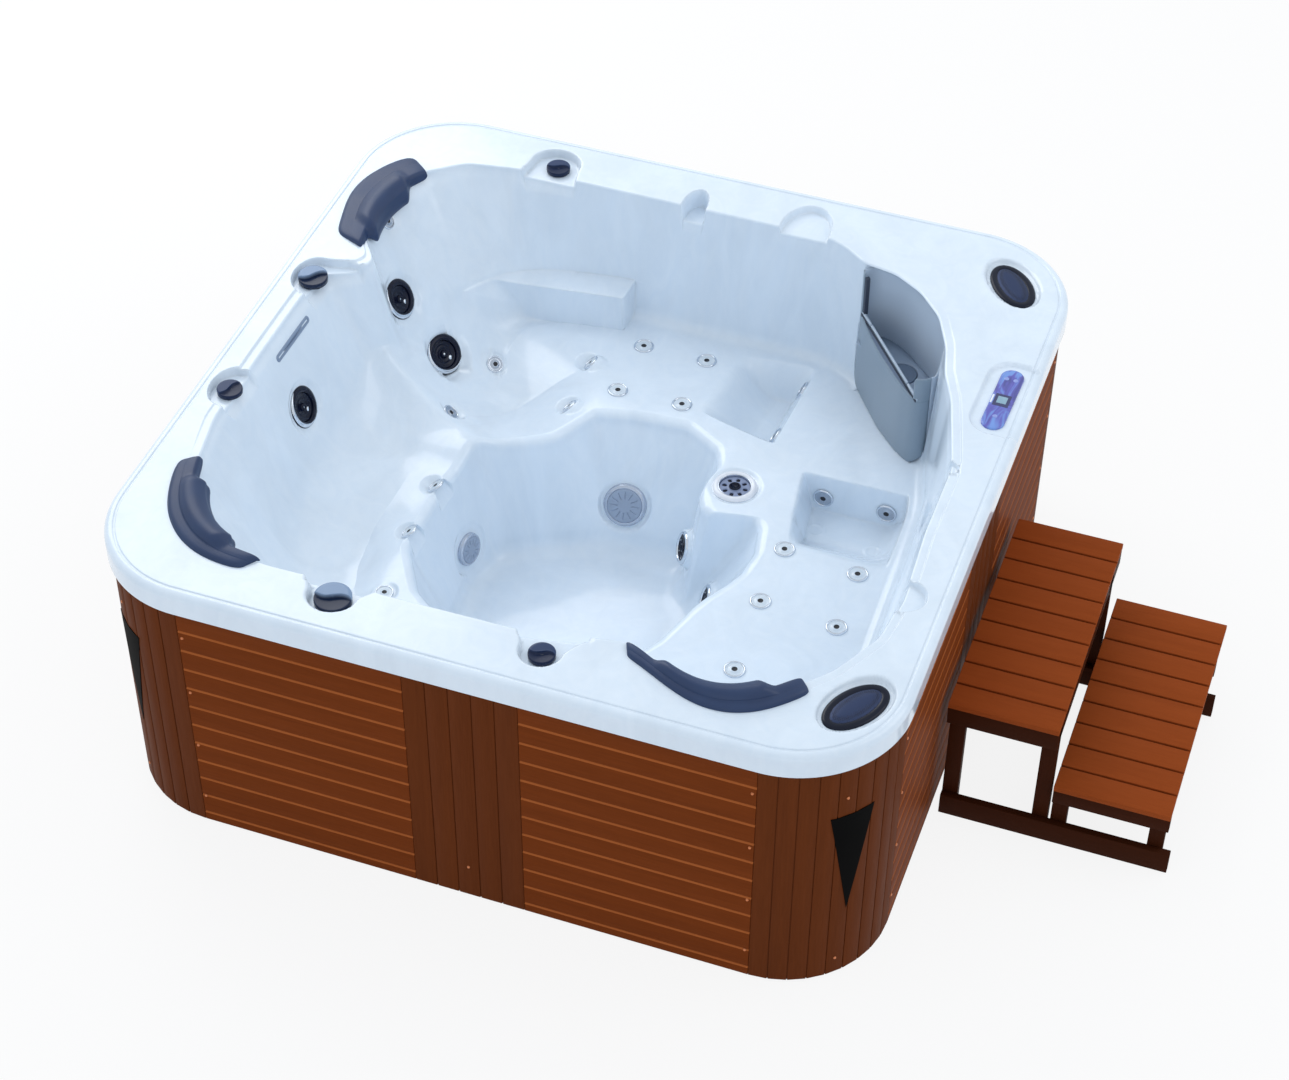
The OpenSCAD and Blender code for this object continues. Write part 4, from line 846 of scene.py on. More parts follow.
def upright_panel(marks, place, half_gap=1.5):
    """Upright boards side by side: a narrow groove at every mark, carried from the bottom to the top."""
    s, deep = [marks[0], marks[0] + 1.0], [1.0, 0.0]
    for m in marks[1:-1]:
        s += [m - half_gap - 1.2, m - half_gap, m - half_gap + 0.3,
              m + half_gap - 0.3, m + half_gap, m + half_gap + 1.2]
        deep += [0.0, 0.6, 3.0, 3.0, 0.6, 0.0]
    s += [marks[-1] - 1.0, marks[-1]]
    deep += [0.0, 1.0]
    heights = np.array([PANEL_LOW, PANEL_LOW + 1.2, PANEL_HIGH - 1, PANEL_HIGH])
    inset = np.array(deep)[None] + np.array([1.2, 0, 0, 1.0])[:, None]
    return place(np.array(s), heights, inset), place(np.array(s), heights, np.full_like(inset, PANEL_T))


def corner_place(s, heights, inset):
    """Puts a length s round the corner arc, a height and a depth on the front right corner."""
    turn, z = np.meshgrid(-math.pi / 2 + s / CAB_R, heights)
    r = CAB_R - inset
    return np.stack([CAB_C + r * np.cos(turn), -CAB_C + r * np.sin(turn), z], -1)


side_names = ["front", "right", "back", "left"]
slat_nodes = [("front_panel_left", "front_panel_right"), ("right_panel_front", "right_panel_back"),
              ("back_panel_right", "back_panel_left"), ("left_panel_back", "left_panel_front")]
corner_nodes = ["corner_front_right", "corner_back_right", "corner_back_left", "corner_front_left"]
# a plank of five boards, and a corner of nine, in millimetres along the cabinet
plank_marks = np.linspace(-157.5, 157.5, 6)
corner_marks = np.radians(np.arange(0, 91, 10)) * CAB_R
for n in range(4):
    ends = [(-CAB_C + 1, -158.5, slat_nodes[n][0]), (158.5, CAB_C - 1, slat_nodes[n][1])]
    made = [(f"{name}_slats", name, slat_panel(x0, x1), slat_board) for x0, x1, name in ends]
    made.append((f"{side_names[n]}_centre_boards", f"{side_names[n]}_panel_centre",
                 upright_panel(plank_marks, panel_grid), upright_board))
    made.append((f"{corner_nodes[n]}_boards", corner_nodes[n],
                 upright_panel(corner_marks, corner_place), upright_board))
    for name, node, (front, back), mat in made:
        points, faces = strip_solid(turned_side(front, n), turned_side(back, n))
        panel = crisp(make_mesh(name, points, faces, mat))
        if mat is slat_board:
            # the lighter board colour on bands 2 to 4 of every groove, the edge of each slat that faces up, is a
            # painted highlight of light catching it
            panel.data.materials.append(groove_highlight)
            band = np.arange(len(front) - 1)
            lit = (band >= 2) & (band < 2 + 6 * (SLATS - 1)) & np.isin((band - 2) % 6, (0, 1))
            index = np.zeros(len(panel.data.polygons), np.int32)
            index[:len(lit) * (front.shape[1] - 1)] = np.repeat(lit, front.shape[1] - 1)
            panel.data.polygons.foreach_set("material_index", index)
        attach(panel, "tub")
        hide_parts(node)


# The accents are matt black wedges let into the round corners. The screws are small bronzed heads.
def finish_node(node, mat):
    """Gives a CAD node its finish in every slot."""
    for s in nodes[node].material_slots:
        s.material = mat


def mottled(name, colour, rough, metal=0.0, coat=0.0, spread=0.06, scale=30.0, bump=0.0, depth=0.0003, colour_b=None):
    """A moulded, painted or metal finish: one colour that drifts a little, with a faint grain in its gloss."""
    mat, tree, bsdf = new_material(name, colour, rough, metal, coat)
    add, link = tree.nodes.new, tree.links.new
    where, noise, tint, gloss = (add(k) for k in (
        "ShaderNodeTexCoord", "ShaderNodeTexNoise", "ShaderNodeMix", "ShaderNodeMapRange"))
    noise.inputs["Scale"].default_value = scale
    noise.inputs["Detail"].default_value = 4.0
    tint.data_type = "RGBA"
    other = colour_b or tuple(min(1, c * (1 + 3 * spread) + 0.002) for c in colour)
    tint.inputs[6].default_value = (*[c * (1 - 2 * spread) for c in colour], 1)
    tint.inputs[7].default_value = (*other, 1)
    gloss.inputs["To Min"].default_value, gloss.inputs["To Max"].default_value = rough * 0.8, min(1, rough * 1.2)
    link(where.outputs["Object"], noise.inputs["Vector"])
    link(noise.outputs["Fac"], tint.inputs[0])
    link(noise.outputs["Fac"], gloss.inputs["Value"])
    link(tint.outputs[2], bsdf.inputs["Base Color"])
    link(gloss.outputs[0], bsdf.inputs["Roughness"])
    if bump:
        grain, relief = add("ShaderNodeTexNoise"), add("ShaderNodeBump")
        grain.inputs["Scale"].default_value = scale * 14
        relief.inputs["Strength"].default_value = bump
        relief.inputs["Distance"].default_value = depth
        link(where.outputs["Object"], grain.inputs["Vector"])
        link(grain.outputs["Fac"], relief.inputs["Height"])
        link(relief.outputs[0], bsdf.inputs["Normal"])
    return mat


accent_black = mottled("accent_black", (0.0012, 0.0012, 0.0014), 0.6, scale=6, spread=0.02,
                       colour_b=(0.002, 0.002, 0.002))
accent_black.node_tree.nodes["Principled BSDF"].inputs["Specular IOR Level"].default_value = 0.02
finish_node("corner_accents", accent_black)
finish_node("panel_screws", mottled("bronzed_screws", srgb(196, 120, 78), 0.35, metal=0.8, scale=90))
finish_node("base_pan", mottled("black_base_tray", (0.02, 0.02, 0.022), 0.6, scale=8, bump=0.3))
stud_wood = board_material("pine_studs", srgb(222, 186, 138), srgb(188, 146, 98), (14, 14, 3), 0.2)
finish_node("frame_posts", stud_wood)
finish_node("frame_rails", stud_wood)

# Three headrests of skinned foam, swept round corners of the opening: a flat tail on the deck and a rolled
# pad that hangs over the edge. Each is one padded piece.
def catmull_rom(a, b, c, d, t):
    """Points from b to c on the Catmull-Rom curve through a, b, c and d, t of the way."""
    return 0.5 * (2 * b + (c - a) * t + (2 * a - 5 * b + 4 * c - d) * t ** 2 + (3 * b - a - 3 * c + d) * t ** 3)


def smooth_line(points, steps):
    """Closed Catmull-Rom curve through points, with the same number of steps to each span."""
    p0, p1, p2, p3 = (np.roll(points, s, 0)[:, None] for s in (1, 0, -1, -2))
    t = (np.arange(steps) / steps)[None, :, None]
    return catmull_rom(p0, p1, p2, p3, t).reshape(-1, points.shape[1])


pillow_section = np.array([
    [1, 0, 0, 0], [0.5, 5, 0, 0], [0, 22, 0, 0], [0, -8, 0, 0], [0, -19, -11, 0], [0, -33, -32, 0], [0, -42, -37, 0],
    [0, -49, -29, 2], [0, -49, -12, 6], [0, -39, 4, 12], [0, -22, 14, 16], [0, -2, 18, 18], [0.1, 8, 18, 15],
    [0.35, 6, 16, 6], [0.42, 5, 15, 1.5], [0.6, 3, 14, 0.5], [0.82, 1, 12, 0], [0.96, 0, 8, 0], [1, 0, 3, 0]], float)


def pillow_surface(a0, a1, wide, swollen):
    """Points of a headrest: a section that is carried from angle a0 to a1 and shrinks round its ends."""
    section = smooth_line(pillow_section, 5)
    u = 0.5 - 0.5 * np.cos(np.linspace(0.02, math.pi - 0.02, 110))
    a = lerp(a0, a1, u)
    r = on_ring(top_soft, a)
    size = np.maximum(1 - np.abs(2 * u - 1) ** 16, 0) ** 0.42
    raised = ease((np.minimum(u, 1 - u) - 0.16) / 0.1)
    out = wide + swollen * np.sin(math.pi * u)
    w, p, o = size[:, None], raised[:, None], out[:, None]
    share, inner, height, lift = (section[None, :, i] for i in range(4))
    d = 6 + (share * o + inner * np.where(inner < 0, 0.3 + 0.7 * p, 1) - 6) * (0.62 + 0.38 * w)
    z = np.where(height < 0, height * w * (0.4 + 0.6 * p), height * (0.3 + 0.7 * w) + lift * p)
    turn = np.radians(a)[:, None]
    return np.stack([(r[:, None] + d) * np.cos(turn), (r[:, None] + d) * np.sin(turn), TUB_H + z], -1)


def ring_quads(grid):
    """Point numbers and quads of a grid whose columns close on themselves."""
    index = numbered(grid)
    right = np.roll(index, -1, 1)
    return index, np.stack([index[:-1], index[1:], right[1:], right[:-1]], -1).reshape(-1, 4)


def closed_tube(grid):
    """Points and faces of such a grid, with the first and last ring filled by a fan."""
    index, quads = ring_quads(grid)
    right, cols = np.roll(index, -1, 1), grid.shape[1]
    points = np.concatenate([grid.reshape(-1, 3), [grid[0].mean(0)], [grid[-1].mean(0)]])
    first = np.stack([index[0], right[0], np.full(cols, index.size)], -1)
    last = np.stack([right[-1], index[-1], np.full(cols, index.size + 1)], -1)
    return points, quads.tolist() + first.tolist() + last.tolist()


foam_skin = mottled("headrest_skin", srgb(20, 44, 84), 0.46, coat=0.04, spread=0.05, scale=14, bump=0.25, depth=0.0004,
                    colour_b=srgb(32, 58, 98))
for name, shape in (("pillow_back_left", (138, 157, 92, 22)), ("pillow_front_left", (212.5, 235.2, 56, 6)),
                    ("pillow_front_right", (293, 314.5, 44, 4))):
    points, faces = closed_tube(pillow_surface(*shape))
    headrest = make_mesh(name + "_pad", points, faces, foam_skin)
    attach(headrest, "tub")
    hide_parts(name)


# Two oval speakers stand in pits of the deck. Each is a navy box with a rounded rim round a domed grille of
# fine dark mesh, and rises out of a lined cup when it is switched on.
def long_round_rows(rows, place, turn, n=96):
    """Rings of a long round outline: each row is its length, width and height, turned and put at a place."""
    t = (np.arange(n) + 0.5) * 2 * math.pi / n
    out = []
    for length, width, z in rows:
        u = np.sign(np.cos(t)) * (length - width) / 2 + np.cos(t) * width / 2
        v = np.sin(t) * width / 2
        out.append(np.stack([*on_plan(u, v, place, turn), np.full(n, float(z))], -1))
    return np.array(out)


def inset_rows(length, width, steps):
    """Rows of a long round outline from pairs of inset and height."""
    return [(length - 2 * d, width - 2 * d, z) for d, z in steps]


def ringed(grid, close_first=True, close_last=True):
    """Faces of rings from the top middle outwards and down; the first and last ring can be closed flat."""
    index, quads = ring_quads(grid)
    faces = quads.tolist()
    if close_first:
        faces.append(index[0].tolist())
    if close_last:
        faces.append(index[-1][::-1].tolist())
    return grid.reshape(-1, 3), faces


def joined(parts):
    """Several pairs of points and faces as one."""
    points, faces, start = [], [], 0
    for p, f in parts:
        points.append(p)
        faces += [[i + start for i in face] for face in f]
        start += len(p)
    return np.concatenate(points), faces


def mesh_grille(name, colour, hole):
    """Woven metal mesh: round pits in rows, sunk by a checker of fine cells and darkened in them with painted shade."""
    mat, tree, bsdf = new_material(name, colour, 0.4, metal=0.5)
    add, link = tree.nodes.new, tree.links.new
    where, cell, ramp, relief, tint = (add(k) for k in (
        "ShaderNodeTexCoord", "ShaderNodeTexVoronoi", "ShaderNodeMapRange", "ShaderNodeBump", "ShaderNodeMix"))
    cell.inputs["Scale"].default_value = 240.0
    cell.inputs["Randomness"].default_value = 0.15
    ramp.inputs["From Min"].default_value, ramp.inputs["From Max"].default_value = 0.25, 0.5
    tint.data_type = "RGBA"
    tint.inputs[6].default_value = (*hole, 1)
    tint.inputs[7].default_value = (*colour, 1)
    relief.inputs["Strength"].default_value = 0.6
    relief.inputs["Distance"].default_value = 0.001
    link(where.outputs["Object"], cell.inputs["Vector"])
    link(cell.outputs["Distance"], ramp.inputs["Value"])
    link(ramp.outputs[0], tint.inputs[0])
    link(tint.outputs[2], bsdf.inputs["Base Color"])
    link(ramp.outputs[0], relief.inputs["Height"])
    link(relief.outputs[0], bsdf.inputs["Normal"])
    return mat


def oval_rows(steps, place, n=96):
    """Rings of an oval turned at a place: each step is its inset from the speaker's outline and its height."""
    t = np.arange(n) * 2 * math.pi / n
    inset, z = np.array(steps, float).T[..., None]
    u, v = (SPEAKER_A - inset) * np.cos(t), (SPEAKER_B - inset) * np.sin(t)
    return np.stack([*on_plan(u, v, place, place[2]), TUB_H + z + 0 * u], -1)


SPEAKER_A, SPEAKER_B = 101.0, 58.0
trim_navy = mottled("speaker_trim", srgb(6, 14, 34), 0.24, coat=0.12, spread=0.05, scale=40)
# the grille's pits take the darker second colour: painted shade in the holes of the mesh
grille_dark = mesh_grille("speaker_grille", srgb(44, 58, 92), srgb(18, 24, 44))
cups = []
for name, place in speaker_places.items():
    box = [(21, -10), (19, -9.2), (15, -8.6), (8, -8.8), (3, -10), (0.8, -12), (0, -14), (0.6, -16),
           (12, -16.4), (12, -80.9)]
    rim = crisp(make_mesh(name + "_box", *ringed(oval_rows(box, place), False, True), trim_navy), 50)
    dome = [(50, -4.4), (42, -4.8), (34, -5.8), (27, -7.6), (23, -9.4), (21, -10)]
    grille = make_mesh(name + "_grille", *ringed(oval_rows(dome, place), True, False), grille_dark)
    cup = [(10, -85), (10, -18.5), (9, -17.8), (3, -17.8), (2, -18.5), (2, -20), (8, -21), (8, -88)]
    cups.append(ringed(oval_rows(cup, place)))
    for piece in (rim, grille):
        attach(piece, "sound_back" if name == "speaker_back" else "sound_front")
    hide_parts(name)
cup_piece = crisp(make_mesh("speaker_cup_linings", *joined(cups), trim_navy), 50)
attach(cup_piece, "tub")
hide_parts("speaker_cups")


# The control panel is a long round overlay of blue film on a moulded body, with a small display in a dark
# frame, a pale mark beside it, and three soft keys under the film.
PANEL_Z = TUB_H - TRAY_DEEP
panel_rows = inset_rows(262, 66, [(24, PANEL_Z + 6.0), (12, PANEL_Z + 6.0), (4, PANEL_Z + 5.9), (2.2, PANEL_Z + 5.4),
                                  (0.8, PANEL_Z + 4.4), (0.2, PANEL_Z + 3.0), (0, PANEL_Z + 0.4), (6, PANEL_Z + 0.2)])


def film_material():
    """Violet-blue printed film: a lighter band of blue drifts across it on slow noise, under a clear gloss."""
    mat, tree, bsdf = new_material("panel_film", srgb(88, 86, 176), 0.25, coat=0.6)
    add, link = tree.nodes.new, tree.links.new
    where, turn, cloud, ramp = (add(k) for k in (
        "ShaderNodeTexCoord", "ShaderNodeMapping", "ShaderNodeTexNoise", "ShaderNodeValToRGB"))
    turn.inputs["Rotation"].default_value = (0, 0, 0.6)
    turn.inputs["Scale"].default_value = (30, 9, 20)
    cloud.inputs["Scale"].default_value = 1.0
    cloud.inputs["Distortion"].default_value = 1.5
    stops = ramp.color_ramp.elements
    stops[0].position, stops[1].position = 0.36, 0.68
    stops[0].color, stops[1].color = (*srgb(72, 74, 150), 1), (*srgb(112, 150, 222), 1)
    stop = stops.new(0.52)
    stop.color = (*srgb(94, 92, 184), 1)
    link(where.outputs["Object"], turn.inputs["Vector"])
    link(turn.outputs[0], cloud.inputs["Vector"])
    link(cloud.outputs["Fac"], ramp.inputs[0])
    link(ramp.outputs[0], bsdf.inputs["Base Color"])
    return mat


def on_panel(x, y, z):
    """Points given along and across the control panel, on the tub."""
    x, y = np.asarray(x, float), np.asarray(y, float)
    return np.stack(np.broadcast_arrays(*on_plan(x, y, panel_place, panel_turn), z), -1)


def raised_plate(x0, x1, y0, y1, z0, z1, soft=1.2):
    """A small flat plate with softened edges, on the control panel."""
    rows = []
    for d, z in ((soft + 1, z1), (soft, z1), (0.3 * soft, z1 - 0.25 * (z1 - z0)), (0, z0)):
        rows.append(on_panel([x0 + d, x1 - d, x1 - d, x0 + d], [y0 + d, y0 + d, y1 - d, y1 - d], z))
    return ringed(np.array(rows))


film = film_material()
overlay = crisp(make_mesh("control_panel_film", *ringed(long_round_rows(panel_rows, panel_place, panel_turn)),
                          film), 40)
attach(overlay, "tub")
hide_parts("control_panel")
frame_dark = mottled("display_frame", srgb(44, 48, 96), 0.3, coat=0.5, scale=50)
surround = crisp(make_mesh("display_frame", *raised_plate(-34, 18, -23, 23, PANEL_Z + 5.4, PANEL_Z + 6.5),
                           frame_dark), 40)
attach(surround, "tub")
window_glass = mottled("display_window", srgb(128, 166, 190), 0.08, coat=0.8, scale=60, colour_b=srgb(152, 186, 204))
window = crisp(make_mesh("display_window", *raised_plate(-22, 8, -14, 14, PANEL_Z + 6.0, PANEL_Z + 6.9),
                         window_glass), 40)
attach(window, "tub")
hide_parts("panel_display")
pale_print = mottled("panel_pale_print", srgb(226, 232, 246), 0.35, scale=50)
mark = crisp(make_mesh("panel_pale_mark", *raised_plate(-26, 10, 25.5, 31, PANEL_Z + 5.6, PANEL_Z + 6.3, 0.5),
                       pale_print), 40)
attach(mark, "tub")


def dome_rows(radius, height, lip, n=40):
    """A low dome: rings from its middle outwards and down its side."""
    t = np.radians([6, 14, 26, 40, 56, 72, 90])
    radii = np.append(radius * np.sin(t), [radius, radius * 0.9])
    heights = np.append(height * np.cos(t), [-lip, -lip - 0.2])
    turn = np.arange(n) * 2 * math.pi / n
    return np.stack([radii[:, None] * np.cos(turn), radii[:, None] * np.sin(turn),
                     np.broadcast_to(heights[:, None], (len(radii), n))], -1)


key_film = mottled("panel_keys", srgb(128, 140, 214), 0.3, coat=0.5, scale=80, colour_b=srgb(158, 176, 236))
for name, body, x, y in (("button_jets", "key_jets", 86, 13), ("button_light", "key_light", 86, -13),
                         ("button_heat", "key_heat", -78, 0)):
    rows = dome_rows(6.9, 1.2, 3.6)
    cap = on_panel(rows[..., 0] + x, rows[..., 1] + y, PANEL_Z + 6.1 + rows[..., 2])
    key = make_mesh(name + "_cap", *ringed(cap), key_film)
    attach(key, body)
    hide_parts(name)


# Five knobs stand on valves in the half round recesses. The air knobs are slate discs with a curved ridge;
# the diverters are larger and carry a silver crescent grip that stands proud of a dark disc.
def knob_surface(place, turn, d, tall, silver):
    """Rings of a knob: a disc whose one half stands higher, the halves parting on a wavy line. The raised
    share of each point is kept, so that the finish can follow it."""
    r = d / 2
    radii = np.concatenate([np.linspace(0.02, 0.92, 26), [0.95, 0.975, 0.99, 1.0, 1.0, 0.995, 0.985, 0.985, 0.9]]) * r
    low = np.concatenate([np.full(26, tall * 0.62), [tall * 0.61, tall * 0.59, tall * 0.56, tall * 0.52, tall * 0.30,
                                                     tall * 0.26, tall * 0.24, 0.1, 0.0]])
    n = 128
    t = np.arange(n) * 2 * math.pi / n
    x, y = radii[:, None] * np.cos(t), radii[:, None] * np.sin(t)
    wave = y - 0.14 * r * np.sin(math.pi * x / r) - (0.02 if silver else 0.0) * r
    raised = ease(0.5 + wave / (2.6 if silver else 2.2))
    rim = ease((0.97 * r - radii) / (0.16 * r))[:, None]
    ridge = np.exp(-(wave / (0.07 * r)) ** 2)
    top = tall * (0.34 if silver else 0.16)
    on_top = low[:, None] > tall * 0.25
    z = low[:, None] + (raised * top * (0.72 + 0.28 * rim) + (0 if silver else 0.16) * tall * ridge * rim) * on_top
    bowl = -0.10 * tall * (1 - (np.hypot(x, y) / r) ** 2) * (1 - raised)
    z = z + bowl * (low[:, None] > tall * 0.6)
    return np.stack([*on_plan(x, y, place, turn), TUB_H - KNOB_RECESS + KNOB_GAP + z], -1), raised * on_top


def two_tone(name, low, high, rough):
    """A finish that goes from one colour to another with the mesh's own raised share."""
    mat, tree, bsdf = new_material(name, low, rough, coat=0.12)
    add, link = tree.nodes.new, tree.links.new
    share, tint, where, noise, gloss = (add(k) for k in (
        "ShaderNodeAttribute", "ShaderNodeMix", "ShaderNodeTexCoord", "ShaderNodeTexNoise", "ShaderNodeMapRange"))
    share.attribute_name = "raised"
    tint.data_type = "RGBA"
    tint.inputs[6].default_value = (*low, 1)
    tint.inputs[7].default_value = (*high, 1)
    noise.inputs["Scale"].default_value = 120.0
    gloss.inputs["To Min"].default_value, gloss.inputs["To Max"].default_value = rough * 0.8, rough * 1.25
    link(share.outputs["Fac"], tint.inputs[0])
    link(tint.outputs[2], bsdf.inputs["Base Color"])
    link(where.outputs["Object"], noise.inputs["Vector"])
    link(noise.outputs["Fac"], gloss.inputs["Value"])
    link(gloss.outputs[0], bsdf.inputs["Roughness"])
    return mat


air_finish = two_tone("air_knob_finish", srgb(14, 30, 62), srgb(40, 58, 94), 0.36)
diverter_finish = two_tone("diverter_finish", srgb(16, 32, 60), srgb(132, 154, 184), 0.24)
for name, place, turn, wide in [
        ("air_knob_back", (-520, 972), 8, 72), ("air_knob_left", (-1005, -304), 60, 72),
        ("air_knob_front", (175, -956), 6, 72), ("diverter_knob_left", (-995, 226), 35, 86),
        ("diverter_knob_front", (-397, -958), 6, 100)]:
    silver = name.startswith("diverter")
    grid, raised = knob_surface(place, turn, wide, 27 if silver else 22, silver)
    knob = make_mesh(name + "_cap", *ringed(grid), diverter_finish if silver else air_finish)
    layer = knob.data.attributes.new("raised", "FLOAT", "POINT")
    layer.data.foreach_set("value", raised.ravel().astype(np.float32))
    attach(knob, name.replace("_knob", ""))
    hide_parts(name)
finish_node("valve_bodies", mottled("valve_plastic", srgb(70, 74, 84), 0.5, scale=40))

# The waterfall is a long spout with rounded ends, let into the left seat back: a grey lip round a narrow slot, closed
# by a darker grey sheet that is painted shade in the slot.
def site_axes(n):
    """Axes of a fitting that faces along n: the first points down the shell, the second level, the third is n."""
    n = np.asarray(n, float)
    flat = math.hypot(n[0], n[1])
    c, s = (n[0] / flat, n[1] / flat) if flat > 1e-9 else (1.0, 0.0)
    return np.array([[n[2] * c, n[2] * s, -flat], [-s, c, 0.0], n])


def on_site(points, site):
    """Moves points drawn on the plan with z outwards to a fitting's place on the shell."""
    c, n, sunk = site
    return points @ site_axes(n) + (c - sunk * n)


spout_rows = [(183, 3, -16), (184, 4, 1.5), (186, 6, 4.2), (190, 10, 5.0), (197, 15, 5.0), (203, 19.5, 4.3),
              (207, 23.5, 2.4), (208, 24, 0), (206, 22, -3)]
points, faces = ringed(long_round_rows(spout_rows, (0, 0), 90))
spout = crisp(make_mesh("waterfall_lip", on_site(points, water_place), faces,
                        mottled("spout_plastic", srgb(124, 142, 168), 0.35, coat=0.1, scale=30)), 45)
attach(spout, "tub")
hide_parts("waterfall_spout")
slot_rows = [(180, 2.5, 2.2), (184.5, 4.6, 2.0), (185, 5, 1.0), (184, 4, -3)]
points, faces = ringed(long_round_rows(slot_rows, (0, 0), 90))
# the darker sheet that closes the slot: painted shade in its opening
slot_shade = mottled("spout_slot_painted_shade", srgb(96, 112, 140), 0.4, scale=30)
slot_piece = make_mesh("waterfall_slot", on_site(points, water_place), faces, slot_shade)
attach(slot_piece, "tub")


# The skimmer stands in the back right corner of the seats: a bowed grey plate in front, a rounded well
# behind it that is open at the top, a shelf with a hole for the filter, and a swinging weir with a straight top.
# SKIM_BAR is the bar's height, and the plate's lean ends SKIM_RISE above its foot
SKIM_BAR = TUB_H - 188
SKIM_RISE = 248
skim_grey = mottled("skimmer_plastic", srgb(132, 148, 163), 0.34, coat=0.15, spread=0.03, scale=5, bump=0.1)


def on_skimmer(u, v, z):
    """Points given along the skimmer, outwards from its chord, and in height."""
    u, v, z = np.broadcast_arrays(u, v, z)
    return np.stack([skim_a[0] + u * skim_along[0] + v * skim_out[0],
                     skim_a[1] + u * skim_along[1] + v * skim_out[1], z], -1)


def corner_lift(u, left, right):
    """Height of a bottom edge that is rounded at both corners."""
    a, b = np.clip(left - u, 0, left), np.clip(u - (skim_len - right), 0, right)
    return left - np.sqrt(left ** 2 - a ** 2) + right - np.sqrt(right ** 2 - b ** 2)


def open_line(points, steps):
    """The same for an open curve."""
    p = np.vstack([2 * points[0] - points[1], points, 2 * points[-1] - points[-2]])
    t = (np.arange(steps) / steps)[None, :, None]
    a, b, c, d = (p[k:len(p) - 3 + k, None] for k in range(4))
    return np.vstack([catmull_rom(a, b, c, d, t).reshape(-1, points.shape[1]), points[-1:]])


# the bowed front of the housing on the plan: along its chord, outwards at the seat, outwards at the bar
plate_curve = open_line(np.array([
    [0, -6, 2], [30, -14, -9], [60, -20, -18], [112, -30, -29], [170, -40, -38], [227, -49, -43], [313, -53, -47],
    [360, -50, -45], [385, -45, -41], [400, -35, -33], [406.5, -20, -20], [408, 2, 2]], float), 10)
plate_arc = np.concatenate([[0], np.cumsum(np.hypot(np.diff(plate_curve[:, 0]), np.diff(plate_curve[:, 1])))])


def bar_height(u):
    """The bar's height: it falls to the right."""
    return 722 - 0.08 * u


def bar_line(u):
    """How far out the bar stands from the chord."""
    return 3 - 0.0925 * u


def plate_front(s, z):
    """The housing's front at a station along its curve and a height: it leans back towards the bar."""
    u, low, top = (np.interp(s, plate_arc, plate_curve[:, k]) for k in range(3))
    return u + 0 * z, lerp(low, top, np.clip((z - SKIM_LOW) / SKIM_RISE, 0, 1))


def plate_solid(u0, u1, low, high, rows, thick=5.0, soft=1.5):
    """A bowed plate between two places along the chord, from its bottom line to its top line, with softened edges."""
    s0, s1 = np.interp([u0, u1], plate_curve[:, 0], plate_arc)
    s = np.concatenate([[s0, s0 + 0.8, s0 + 2], np.linspace(s0 + 5, s1 - 5, max(4, int((s1 - s0) / 5))),
                        [s1 - 2, s1 - 0.8, s1]])
    u = np.interp(s, plate_arc, plate_curve[:, 0])
    low, high = low(u), high(u)
    share = np.concatenate([[0, 0.3 / rows], np.linspace(1.0 / rows, 1 - 1.0 / rows, rows), [1 - 0.3 / rows, 1]])
    z = low[None] + (high - low)[None] * share[:, None]
    x, y = plate_front(s[None], z)
    tx, ty = np.gradient(x, axis=1), np.gradient(y, axis=1)
    size = np.hypot(tx, ty) + 1e-9
    nx, ny = -ty / size, tx / size
    edge = np.minimum(np.minimum(z - low[None], high[None] - z), np.minimum(s - s0, s1 - s)[None])
    inset = soft * (1 - ease(edge / (2 * soft)))
    front = on_skimmer(x + nx * inset, y + ny * inset, z)
    back = on_skimmer(x + nx * thick, y + ny * thick, z)
    return strip_solid(front[:, ::-1], back[:, ::-1])


main = plate_solid(0, 408, lambda u: 451 + corner_lift(u, 48, 22), lambda u: bar_height(u) - 2, 30)
left = plate_solid(0, 17, lambda u: bar_height(u) - 3, lambda u: 871.0 + 0 * u, 10)
right = plate_solid(384, 408, lambda u: bar_height(u) - 3, lambda u: 768 - 14 * np.clip((392 - u) / 8, 0, 1) ** 2, 8)
plate = crisp(make_mesh("skimmer_plate", *joined([(p, f.tolist()) for p, f in (main, left, right)]), skim_grey), 40)
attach(plate, "tub")
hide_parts("skimmer_housing")

w = np.linspace(-1, 1, 81)
turn_back = np.sign(w) * (1 - (1 - np.abs(w)) ** 1.6)
path_u = np.concatenate([[5.2, 5.2, 5.2], lerp(5.2, skim_len - 5.2, (turn_back + 1) / 2), [skim_len - 5.2] * 3])
path_v = np.concatenate([[1.0, 8, 15], 20 + 77 * np.sqrt(np.maximum(1 - np.abs(turn_back) ** 3, 0)), [15, 8, 1.0]])
heights = np.array([456, 457, 500, 560, 600, 630, 660, 700, 740, 780, 820, 850, 862, 867, 870, 871.0])
flare = np.array([0] * 12 + [0, 0.6, 1.8, 3.0])
u, z = np.meshgrid(path_u, heights)
v = np.broadcast_to(path_v, u.shape) - flare[:, None]
# its right end comes down to the post of the plate
z = 456 + (z - 456) * lerp(0.75, 1, np.where(path_u > skim_len / 2, ease((path_v - 16) / 34), 1))
front = on_skimmer(u, v, z)
back = on_skimmer(np.clip((u - skim_len / 2) * 1.018 + skim_len / 2, 0.5, skim_len - 0.5), v + 3.5 + flare[:, None], z)
points, faces = strip_solid(front[:, ::-1], back[:, ::-1])
well_grey = mottled("skimmer_well_plastic", srgb(188, 202, 218), 0.34, coat=0.1, spread=0.03, scale=5)
liner = make_mesh("skimmer_well", points, faces, well_grey)
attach(liner, "tub")

